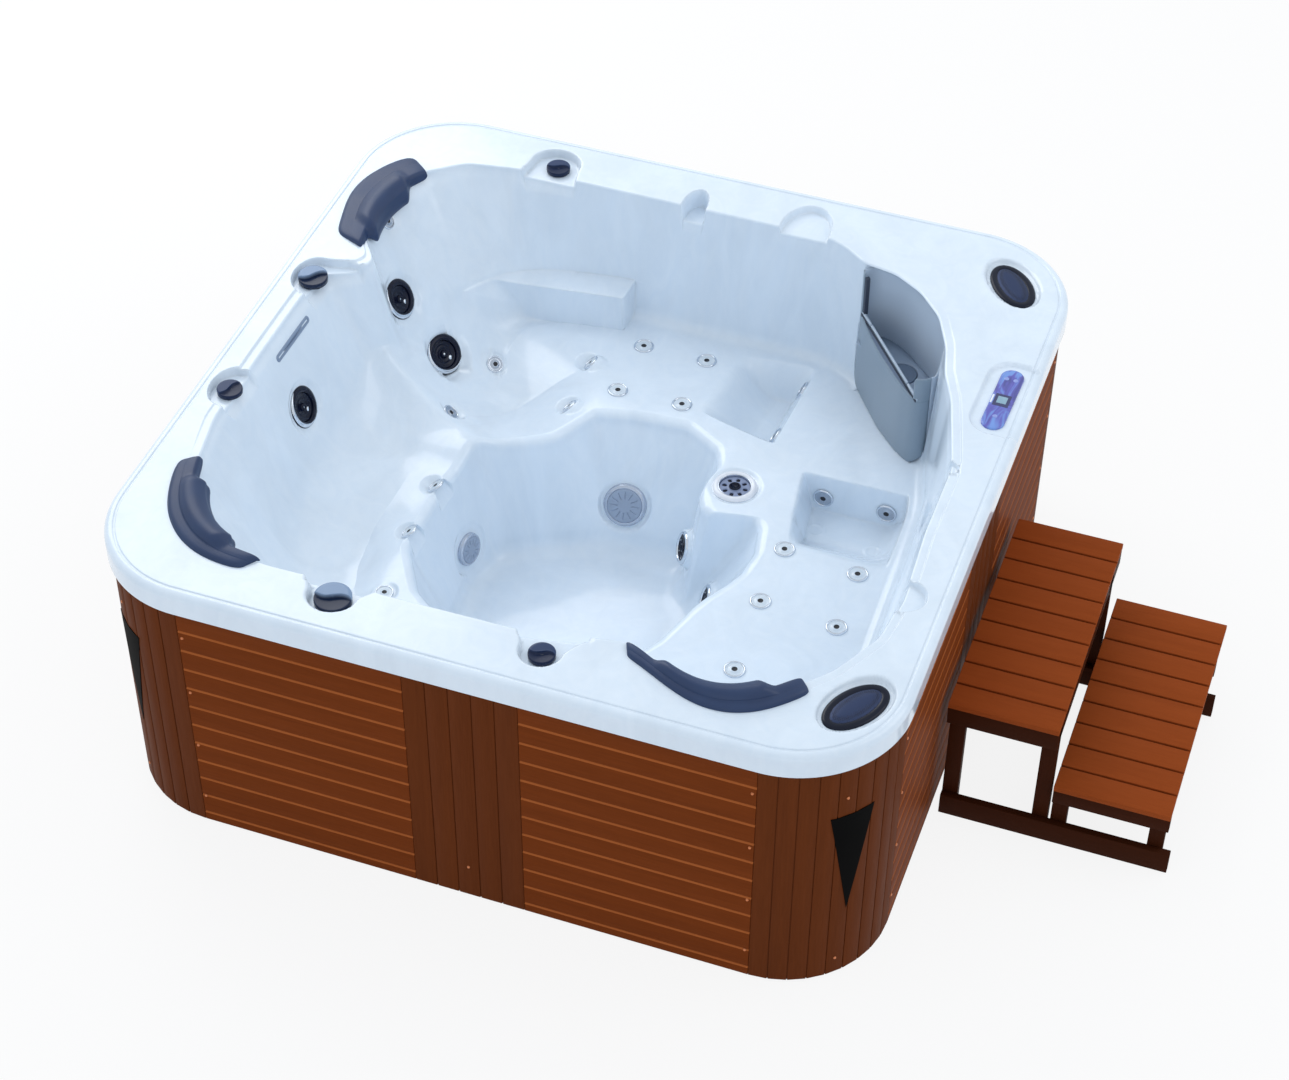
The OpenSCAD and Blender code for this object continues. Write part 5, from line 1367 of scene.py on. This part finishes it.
# the shelf inside the well, and the ledge between the bowed plate and the straight bar
FILTER_V, FILTER_R = 31.0, 46.0
t = np.arange(120) * 3.0 + 1.5
ring_line = np.column_stack([np.concatenate([[8, 8], path_u[3:-3][::4], [skim_len - 8, skim_len - 8]]) - skim_len / 2,
                             np.concatenate([[-14, 18], path_v[3:-3][::4] + 1, [18, -14]]) - FILTER_V])[::-1]
outer_r = ray_reach(ring_line, t)
shelf_rows = []
for share, z in ((0, 600), (0, 617), (0.03, 618.5), (0.5, 618.5), (1, 618.5), (1, 614)):
    r = lerp(FILTER_R + 2.5, outer_r, share)
    shelf_rows.append(on_skimmer(skim_len / 2 + r * np.cos(np.radians(t)), FILTER_V + r * np.sin(np.radians(t)), z))
shelf_grey = mottled("skimmer_shelf", srgb(158, 174, 194), 0.45, spread=0.04, scale=12)
shelf = make_mesh("skimmer_shelf", *ringed(np.array(shelf_rows), False, False), shelf_grey)
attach(shelf, "tub")
lens_u = np.linspace(19, 400, 61)
edge_v = np.interp(lens_u, plate_curve[:, 0], plate_curve[:, 2]) + 2
inside_v = np.maximum(bar_line(lens_u) - 4, edge_v + 0.5)
ledge_front = on_skimmer(lens_u[None], lerp(edge_v[None], inside_v[None], np.linspace(0, 1, 5)[:, None]),
                         bar_height(lens_u)[None] - 5 + np.array([3, 0.5, 0, 0, 0.0])[:, None])
ledge_back = ledge_front - np.array([0, 0, 6.0])
points, faces = strip_solid(ledge_front, ledge_back)
bar_blue = mottled("skimmer_ledge", srgb(110, 126, 150), 0.4, spread=0.03, scale=12)
ledge = crisp(make_mesh("skimmer_ledge", points, faces, bar_blue), 40)
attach(ledge, "tub")


def soft_boxes(name, spans, material, round_by, place=None):
    """Boxes given by their low and high corners, as one mesh with softened edges."""
    signs = np.array([[i & 1, i >> 1 & 1, i >> 2 & 1] for i in range(8)])
    box_faces = [[0, 2, 3, 1], [4, 5, 7, 6], [0, 1, 5, 4], [2, 6, 7, 3], [0, 4, 6, 2], [1, 3, 7, 5]]
    parts = [(np.array(lo) + signs * (np.array(hi) - np.array(lo)), box_faces) for lo, hi in spans]
    points, faces = joined(parts)
    if place is not None:
        points = place(points)
    obj = make_mesh(name, points, faces, material)
    bevel = obj.modifiers.new("softened", "BEVEL")
    bevel.width, bevel.segments, bevel.limit_method = round_by * MM, 3, "ANGLE"
    return obj


bar_steel = mottled("weir_bar", srgb(176, 190, 206), 0.22, coat=0.3, spread=0.03, scale=20)
guide_dark = mottled("skimmer_guide", srgb(52, 60, 76), 0.5, scale=30)
mid_u = skim_len / 2
# the weir's hinge: its place outwards, its height, and how far above it the flap is back on the bar's line
WEIR_HINGE_V, WEIR_HINGE_Z, WEIR_RISE = -18.5, 632.0, 70


def on_bar(p):
    """Places points along the bar: along the chord, out from the bar's line, and up, the top following its slope."""
    rise = (bar_height(p[:, 0]) - SKIM_BAR) * np.clip((p[:, 2] - WEIR_HINGE_Z) / WEIR_RISE, 0, 1)
    return on_skimmer(p[:, 0], bar_line(p[:, 0]) + p[:, 1], p[:, 2] + rise)


def on_hinge(p):
    """The same for the flap, whose lower edge follows its hinge."""
    q = on_bar(p)
    back = (WEIR_HINGE_V - bar_line(p[:, 0])) * (1 - np.clip((p[:, 2] - WEIR_HINGE_Z) / WEIR_RISE, 0, 1))
    q[:, :2] += back[:, None] * skim_out
    return q


guide = soft_boxes("skimmer_guide_slot", [((17.5, -3, SKIM_BAR + 4), (29, 10, 838))], guide_dark, 1.0, on_bar)
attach(guide, "tub")
weir_parts = soft_boxes("weir_flap", [
    ((mid_u - 125, -2.5, 632), (mid_u + 125, 2.5, 706)), ((mid_u - 125, -4, 702), (mid_u + 125, 3.5, 710)),
    ((mid_u - 128, -2.5, 629.5), (mid_u + 128, 2.5, 634.5))], bar_steel, 1.6, on_hinge)
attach(weir_parts, "weir")
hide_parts("weir_door")
bar_ends = soft_boxes("skimmer_bar_ends", [((15, -4, SKIM_BAR - 3), (mid_u - 128, 3.5, SKIM_BAR + 7)),
                                        ((mid_u + 128, -4, SKIM_BAR - 3), (399, 3.5, SKIM_BAR + 7))],
                   bar_steel, 1.6, on_bar)
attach(bar_ends, "tub")
gap = soft_boxes("skimmer_bar_shadow", [((16, -7.5, SKIM_BAR - 6), (398, -4.2, SKIM_BAR + 1))], guide_dark, 0.5, on_bar)
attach(gap, "tub")


# The filter is a pleated paper cartridge with a grey cap at each end, and lifts out of the shelf.
def turned(profile, n=64, pleats=0, deep=0.0):
    """A profile of radius and height turned about z, from its top middle outwards and down; pleats wave its radius."""
    profile = np.array(profile, float)
    t = np.arange(n) * 2 * math.pi / n
    r = profile[:, :1] * np.ones(n)[None]
    if pleats:
        waved = np.abs(profile[:, :1] - profile[:, 0].max()) > 0.5
        r = r * (1 - deep * (0.5 + 0.5 * np.cos(pleats * t))[None] * waved)
    grid = np.stack([r * np.cos(t), r * np.sin(t), np.broadcast_to(profile[:, 1:], r.shape)], -1)
    return ringed(grid)


paper = mottled("filter_paper", srgb(232, 236, 238), 0.8, scale=60)
cap_grey = mottled("filter_cap", srgb(112, 128, 150), 0.4, scale=30)
at_filter = on_skimmer(skim_len / 2, FILTER_V, 0.0)
points, faces = turned([(30, 614), (FILTER_R - 4, 612), (FILTER_R - 4, 463), (30, 461)], 180, 45, 0.1)
cartridge = make_mesh("filter_pleats", points + at_filter, faces, paper)
caps = [turned([(1, 620), (30, 620), (FILTER_R - 3, 620), (FILTER_R - 0.8, 619.2), (FILTER_R, 617),
                (FILTER_R, 611), (FILTER_R - 1, 610), (20, 610)]),
        turned([(20, 465), (FILTER_R - 1, 465), (FILTER_R, 464), (FILTER_R, 456), (FILTER_R - 1, 455), (1, 455)])]
points, faces = joined(caps)
cap = crisp(make_mesh("filter_caps", points + at_filter, faces, cap_grey), 50)
for piece in (cartridge, cap):
    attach(piece, "filter")
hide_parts("filter_cartridge")


# Three large jets stand in the seat backs. Each has a black flange with a bright crescent let into its
# lower edge, and a black turning face with a nozzle.
jet_black = mottled("jet_gloss_black", srgb(4, 12, 36), 0.26, coat=0.12, spread=0.04, scale=60)
# the jets' dark middles: painted shade in the nozzles' openings
jet_hole_shade = mottled("jet_nozzle_painted_shade", srgb(16, 18, 26), 0.5, scale=60)
# the navy finishes reflect little of the sky
for navy in (jet_black, trim_navy, air_finish, diverter_finish):
    navy.node_tree.nodes["Principled BSDF"].inputs["Specular IOR Level"].default_value = 0.2
chrome = mottled("jet_chrome", srgb(214, 220, 228), 0.1, metal=1.0, spread=0.02, scale=40)
flange_profile = [(42.6, -14), (42.6, 2.2), (43.4, 4.4), (46, 5.6), (51, 5.8), (56, 4.6), (60, 2.4), (62, 0.4),
                  (62, -1), (46, -1.2), (46, -55)]
face_profile = [(4.2, 1.0), (5.0, 4.2), (7.4, 4.5), (9.2, 3.6), (11.5, -1.5), (13, -5.0), (20, -5.6), (22, -4.4),
                (24, -4.2), (25.5, -5.0), (34, -3.6), (37, -2.0), (40, -1.2), (41.6, -1.8), (42, -3), (42, -13.7)]


def crescent(start, end, inner, outer, n=48):
    """A thin crescent on a flange: its width swells from nothing at both ends, over a rounded section."""
    t = np.radians(np.linspace(start, end, n))
    swell = np.sin(np.linspace(0, math.pi, n)) ** 0.8
    section = np.array([(0, -0.8), (0.04, 0.8), (0.25, 1.7), (0.5, 2.0), (0.75, 1.5), (0.96, 0.2), (1.0, -1.6)])
    r = outer - (outer - inner) * swell[None] * (1 - section[:, :1])
    z = 5.0 - (np.clip(r - 50, 0, 12) / 12) ** 1.5 * 4.6 + section[:, 1:]
    return np.stack([r * np.cos(t), r * np.sin(t), z], -1)


def sheet_faces(grid):
    """Points and faces of an open grid."""
    index = numbered(grid)
    quads = np.stack([index[:-1, :-1], index[1:, :-1], index[1:, 1:], index[:-1, 1:]], -1)
    return grid.reshape(-1, 3), quads.reshape(-1, 4).tolist()


bodies, shines = [], []
for site, name, mid in zip(big_places, ("upper", "lower", "left"), (-48, -48, -62)):
    points, faces = turned(flange_profile)
    bodies.append((on_site(points, site), faces[:-2]))
    points, faces = sheet_faces(crescent(mid - 105, mid + 105, 47.5, 61.8))
    shines.append((on_site(points, site), faces))
    points, faces = turned(face_profile)
    disc = crisp(make_mesh(f"jet_face_{name}_disc", on_site(points, site), faces, jet_black), 50)
    nozzle_hole = [(0.5, 1.6), (3.4, 1.5), (4.4, 1.2), (4.4, 0.8)]
    points, faces = turned(nozzle_hole, 24)
    side_hole = turned([(0.5, -3.2), (6.6, -3.4), (7.4, -4.4), (7.4, -6)], 24)
    side_hole = (side_hole[0] + np.array([20.0, 18.0, 0.0]), side_hole[1])
    points, faces = joined([(points, faces), side_hole])
    hole = make_mesh(f"jet_face_{name}_nozzle", on_site(points, site), faces, chrome)
    for piece in (disc, hole):
        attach(piece, f"face_{name}")
    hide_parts(f"jet_face_{name}")
flanges = crisp(make_mesh("large_jet_flanges", *joined(bodies), jet_black), 50)
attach(flanges, "tub")
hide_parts("large_jet_bodies")
crescents = make_mesh("large_jet_crescents", *joined(shines), chrome)
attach(crescents, "tub")


# The small jets of the backs, the seats and the pits: a bright ring, a pale dished insert and a dark nozzle; the
# nozzle's dark is painted shade in its opening.
pearl_insert = mottled("jet_pearl_insert", srgb(200, 214, 228), 0.25, coat=0.4, spread=0.02, scale=60,
                       colour_b=srgb(222, 232, 240))
steel_insert = mottled("jet_steel_insert", srgb(176, 184, 196), 0.2, metal=0.9, spread=0.03, scale=60)
SMALL_JET_R, SEAT_JET_R = 27, 31


def jet_parts(r, tail):
    """Profiles of a small jet of outer radius r: its ring, its insert and its dark middle, painted shade of the
    nozzle's opening.
    """
    ring = [(r * 0.80, 2.4), (r * 0.83, 3.9), (r * 0.88, 4.6), (r * 0.93, 4.2), (r * 0.98, 2.6), (r, 0.6), (r, -1),
            (r * 0.6, -1.4)]
    dish = [(r * 0.26, 3.2), (r * 0.30, 4.2), (r * 0.36, 4.0), (r * 0.44, 2.4), (r * 0.6, 1.6), (r * 0.74, 1.9),
            (r * 0.81, 2.6), (r * 0.82, 1.0)]
    core = [(0.4, 2.6), (r * 0.12, 2.4), (r * 0.2, 2.9), (r * 0.28, 3.4), (r * 0.29, 2.0), (r * 0.29, -tail)]
    return ring, dish, core


def jet_set(name, node, groups):
    """One mesh each for the rings, inserts and dark middles (painted shade) of several jets; insert finishes differ by
    group.
    """
    rings, cores, first = [], [], None
    for k, (places, r, insert) in enumerate(groups):
        ring, dish, core = jet_parts(r, 6)
        dishes = []
        for site in places:
            for profile, store in ((ring, rings), (dish, dishes), (core, cores)):
                points, faces = turned(profile, 40)
                store.append((on_site(points, site), faces[:-2] if store is not cores else faces))
        piece = make_mesh(f"{name}_inserts_{k + 1}", *joined(dishes), insert)
        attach(piece, "tub")
    for label, store, mat in (("rings", rings, chrome), ("nozzles", cores, jet_hole_shade)):
        piece = make_mesh(f"{name}_{label}", *joined(store), mat)
        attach(piece, "tub")
        first = first or piece
    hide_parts(node)


jet_set("small_jet", "small_jets", [(small_places[:3], SMALL_JET_R, steel_insert),
                                                  (small_places[3:], SMALL_JET_R, pearl_insert)])
jet_set("seat_jet", "seat_jets", [(seat_places, SEAT_JET_R, pearl_insert),
                                                (pit_places, SEAT_JET_R, steel_insert)])

# The foot jet is a broad white ring in the calf seat, round a turning grey disc with eight radial holes and
# a dark ringed nozzle; the dark sheets sunk in the holes and the dark nozzle are painted shade in these openings.
# The two footwell jets have bright rings round black dished faces.
def polar_sheet(radii, z_of, n=240):
    """A round sheet closed at its middle, its height given by a function of radius and turn."""
    r, t = np.meshgrid(np.asarray(radii, float), np.arange(n) * 2 * math.pi / n, indexing="ij")
    return ringed(np.stack([r * np.cos(t), r * np.sin(t), z_of(r, t)], -1), True, False)


def slots_round(r, t, count, low, high, half):
    """Distance in from the edge of long round holes set radially; positive inside them."""
    step = 2 * math.pi / count
    local = (t + step / 2) % step - step / 2
    x, y = r * np.cos(local), r * np.sin(local)
    return half - np.hypot(x - np.clip(x, low + half, high - half), y)


ring_white = mottled("foot_ring_white", srgb(226, 230, 238), 0.22, coat=0.5, spread=0.02, scale=40)
disc_grey = mottled("foot_disc_grey", srgb(124, 138, 170), 0.3, coat=0.3, spread=0.04, scale=60)
foot_rows = [(47.4, -16), (47.4, 5), (48.6, 7.2), (51, 8.9), (54, 9.7), (57, 9.7), (60.5, 8.2), (63.5, 5.4),
             (65.5, 2.4), (66.6, 0.6), (66.8, -0.8), (60, -1.2)]
points, faces = turned(foot_rows, 96)
foot_white = make_mesh("foot_jet_ring_moulding", on_site(points, foot_place), faces[:-2], ring_white)
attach(foot_white, "tub")
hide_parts("foot_jet_ring")
bright_edges = [turned([(46.1, -4), (46.1, 6.2), (46.6, 7.4), (47.8, 7.8), (48.8, 7.2), (48.8, 5)], 96),
         turned([(65.4, 0.4), (65.6, 2.2), (66.4, 2.4), (66.95, 1.4), (66.95, -0.6)], 96)]
points, faces = joined([(p, f[:-2]) for p, f in bright_edges])
foot_edge = make_mesh("foot_jet_bright_edges", on_site(points, foot_place), faces, chrome)
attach(foot_edge, "tub")
disc_r = np.concatenate([[12.5, 15.5, 17, 18, 19, 20.5], np.linspace(22, 42, 24), [43.5, 44.6, 45.2, 45.3, 45.3]])
disc_skin = np.array([3.6, 3.8, 2.6, 1.0, 0.3, 0.0] + [0.0] * 24 + [-0.1, -0.4, -1.2, -3, -9])
DISC_HOLES, COVER_SLOTS = 8, 12


def disc_height(r, t):
    """Height of the disc: its section, less a pit at each of its round holes."""
    skin = np.interp(r, disc_r[:-2], disc_skin[:-2])
    skin[-2:] = disc_skin[-2:, None]
    return skin - 5 * ease(slots_round(r, t, DISC_HOLES, 23.5, 39.5, 6.4) / 1.2)


points, faces = polar_sheet(disc_r, disc_height, 288)
foot_disc = make_mesh("foot_jet_disc_face", on_site(points, foot_place), faces, disc_grey)
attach(foot_disc, "foot_disc")
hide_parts("foot_jet_disc")
# the dark nozzle and the dark sheets sunk in the eight holes: painted shade in the openings
dark_rows = [(0.4, 1.6), (5.4, 1.4), (6.4, 2.6), (7.6, 3.2), (8.8, 2.4), (9.6, 0.4), (12.4, 0.0), (13.6, 2.5),
             (14.4, 5.1), (16.2, 5.2), (17.6, 3.9)]
holes = [turned(dark_rows, 64)]
for k in range(DISC_HOLES):
    turn = k * math.pi / 4
    dark = long_round_rows([(13.4, 10.6, -3.2), (15.6, 12.4, -3.4)], (31.5 * math.cos(turn), 31.5 * math.sin(turn)),
                           k * 45, 24)
    holes.append(ringed(dark, True, False))
points, faces = joined(holes)
foot_hole_shade = make_mesh("foot_jet_nozzle_and_hole_shades", on_site(points, foot_place), faces, jet_black)
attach(foot_hole_shade, "foot_disc")

bright, black = [], []
ring_rows = [(38.5, -3), (39, 4.4), (40.5, 6.2), (43.5, 6.9), (46, 6.0), (48.4, 3.6), (49.8, 0.6), (50, -1), (40, -1.4)]
face_rows = [(0.5, 0.4), (7, 0.2), (9, 3.0), (11, 3.8), (13, 2.6), (15, -2.5), (18, -4.6), (24, -4.4), (27, -1.6),
             (28.5, -0.8), (30, -1.8), (34, -0.2), (37, 1.4), (39.2, 2.0), (39.4, -2)]
for site in pillar_places:
    points, faces = turned(ring_rows, 72)
    bright.append((on_site(points, site), faces[:-2]))
    points, faces = turned(face_rows, 72)
    black.append((on_site(points, site), faces))
    for k in range(6):
        turn = math.radians(60 * k + 30)
        points, faces = turned([(0.4, 1.2), (1.6, 1.3), (2.3, 0.8), (2.6, -1)], 20)
        bright.append((on_site(points + np.array([33 * math.cos(turn), 33 * math.sin(turn), -0.3]), site), faces))
well_rings = make_mesh("footwell_jet_rings", *joined(bright), chrome)
well_faces = make_mesh("footwell_jet_faces", *joined(black), jet_black)
for piece in (well_rings, well_faces):
    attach(piece, "tub")
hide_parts("footwell_jets")


# Two domed covers stand over the suction drains of the footwell: a bright side with a step, and a face with
# twelve radial slots.
cover_face = mottled("drain_cover_face", srgb(148, 162, 184), 0.35, coat=0.2, spread=0.04, scale=50)
cover_side = mottled("drain_cover_side", srgb(186, 194, 208), 0.22, metal=0.7, spread=0.04, scale=40)
cover_r = np.concatenate([[2, 8, 13], np.linspace(16, 54, 30), [55.2, 56.2, 57, 57.4]])


def cover_height(r, t):
    """Height of the cover: its section, less a groove at each of its slots."""
    skin = np.interp(r, [2, 40, 52, 55.2, 56.2, 57, 57.4], [17.6, 17.2, 16.4, 15.9, 15.2, 13.8, 11.5])
    return skin - 2.2 * ease(slots_round(r, t, COVER_SLOTS, 22, 48, 2.2) / 1.6)


face_parts, side_parts = [], []
for site in suction_places:
    points, faces = polar_sheet(cover_r, cover_height, 480)
    scale = np.array([0.93, 0.93, 1.0]) if site is suction_places[0] else np.array([0.71, 0.71, 0.9])
    face_parts.append((on_site(points * scale, site), faces))
    side = turned([(56.4, 12), (57.4, 14.4), (58.6, 15.3), (60.4, 15.0), (63.5, 13.6), (66.5, 12.6), (68.2, 11.4),
                   (69.0, 9.6), (69.2, 7.6), (70.3, 6.8), (70.9, 5.4), (70.9, 0.6), (70.4, -0.6), (60, -1)], 96)
    side_parts.append((on_site(side[0] * scale, site), side[1][:-2]))
covers = make_mesh("suction_cover_faces", *joined(face_parts), cover_face)
sides = make_mesh("suction_cover_sides", *joined(side_parts), cover_side)
for piece in (covers, sides):
    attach(piece, "tub")
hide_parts("suction_covers")


# The machinery under the seats keeps its drawn shape, in plain workshop finishes.
for node, mat in [
        ("pump", mottled("pump_paint", srgb(58, 62, 68), 0.5, coat=0.1, scale=14)),
        ("impeller", mottled("impeller_plastic", srgb(196, 172, 128), 0.45, scale=20)),
        ("heater", mottled("heater_steel", srgb(190, 194, 198), 0.3, metal=1.0, scale=10, spread=0.04)),
        ("control_box", mottled("box_plastic", srgb(188, 190, 192), 0.5, scale=10, spread=0.03)),
        ("plumbing", mottled("pipe_plastic", srgb(226, 227, 228), 0.4, scale=6, spread=0.03))]:
    finish_node(node, mat)


# The steps stand beside the tub as one piece: two rows of nine boards on a frame of legs and rails, all of
# brown composite with a fine grain that runs along each member; the frame's far darker brown is painted shade.
STEP_X, NEAR_Y, STEP_H, LOW_H = 1106.0, -370.0, 445.0, 229.6
TOP_END, LOW_START, LOW_END = STEP_X + 305, STEP_X + 313, STEP_X + 635
BOARDS, BOARD_GAP, BOARD_T, RAIL_T, LEG_W = 9, 7, 18, 22, 44
BOARD_W = (770 - BOARD_GAP * (BOARDS - 1)) / BOARDS


def member_set(name, node, spans, material, round_by=1.6):
    """Boards or posts of the steps as one piece."""
    piece = soft_boxes(name, spans, material, round_by)
    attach(piece, "steps")
    if node:
        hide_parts(node)


top_wood = board_material("step_board_wood", srgb(162, 78, 34), srgb(136, 62, 25), (1.4, 20, 20), 0.08)
for name, node, x0, x1, z in (("step_boards_upper", "step_boards", STEP_X, TOP_END, STEP_H),
                              ("step_boards_lower", None, LOW_START, LOW_END, LOW_H)):
    starts = [NEAR_Y + k * (BOARD_W + BOARD_GAP) for k in range(BOARDS)]
    member_set(name, node, [((x0, y, z - BOARD_T), (x1, y + BOARD_W, z)) for y in starts], top_wood)
# the frame is the boards' wood in a far darker brown: painted shade of the frame standing under the boards
along_x, along_y, along_z = (board_material(f"step_frame_shaded_wood_{axis}", srgb(66, 30, 14), srgb(50, 22, 10), stretch, 0.1)
                             for axis, stretch in (("x", (1.4, 20, 20)), ("y", (20, 1.4, 20)), ("z", (20, 20, 1.4))))
# where the legs stand along the steps, and the height of the tread above each
leg_places = ((STEP_X + 6, STEP_H), (STEP_X + 261, STEP_H), (LOW_START, LOW_H), (STEP_X + 583, LOW_H))
rails, legs = [], []
for y in (NEAR_Y + 4, NEAR_Y + 620):
    rails += [((STEP_X + 6, y, 0), (STEP_X + 651, y + RAIL_T, 72)),
              ((STEP_X, y, STEP_H - 80), (TOP_END, y + RAIL_T, STEP_H - BOARD_T)),
              ((LOW_START, y, LOW_H - 68), (LOW_END, y + RAIL_T, LOW_H - BOARD_T))]
    legs += [((x, y + RAIL_T, 0), (x + LEG_W, y + 48, z - BOARD_T)) for x, z in leg_places]
bearers = [((x, NEAR_Y + 26, z - 68), (x + LEG_W, NEAR_Y + 762, z - BOARD_T)) for x, z in leg_places]
member_set("step_frame_rails", "step_frame", rails, along_x)
member_set("step_frame_legs", None, legs, along_z)
member_set("step_frame_bearers", None, bearers, along_y)


# Some rows run the other way round, which leaves the faces of their pieces turned inwards. Blender turns the
# faces of these pieces outwards by its own rule.
for name in ("pillow_back_left_pad", "pillow_front_left_pad", "pillow_front_right_pad", "skimmer_plate", "skimmer_well",
             "large_jet_crescents", "small_jet_rings", "small_jet_inserts_1", "seat_jet_rings", "seat_jet_inserts_2",
             "footwell_jet_rings", "suction_cover_faces", "speaker_back_box", "speaker_front_box"):
    mesh = bpy.data.objects[name].data
    sheet = bmesh.new()
    sheet.from_mesh(mesh)
    bmesh.ops.recalc_face_normals(sheet, faces=sheet.faces)
    sheet.to_mesh(mesh)
    sheet.free()
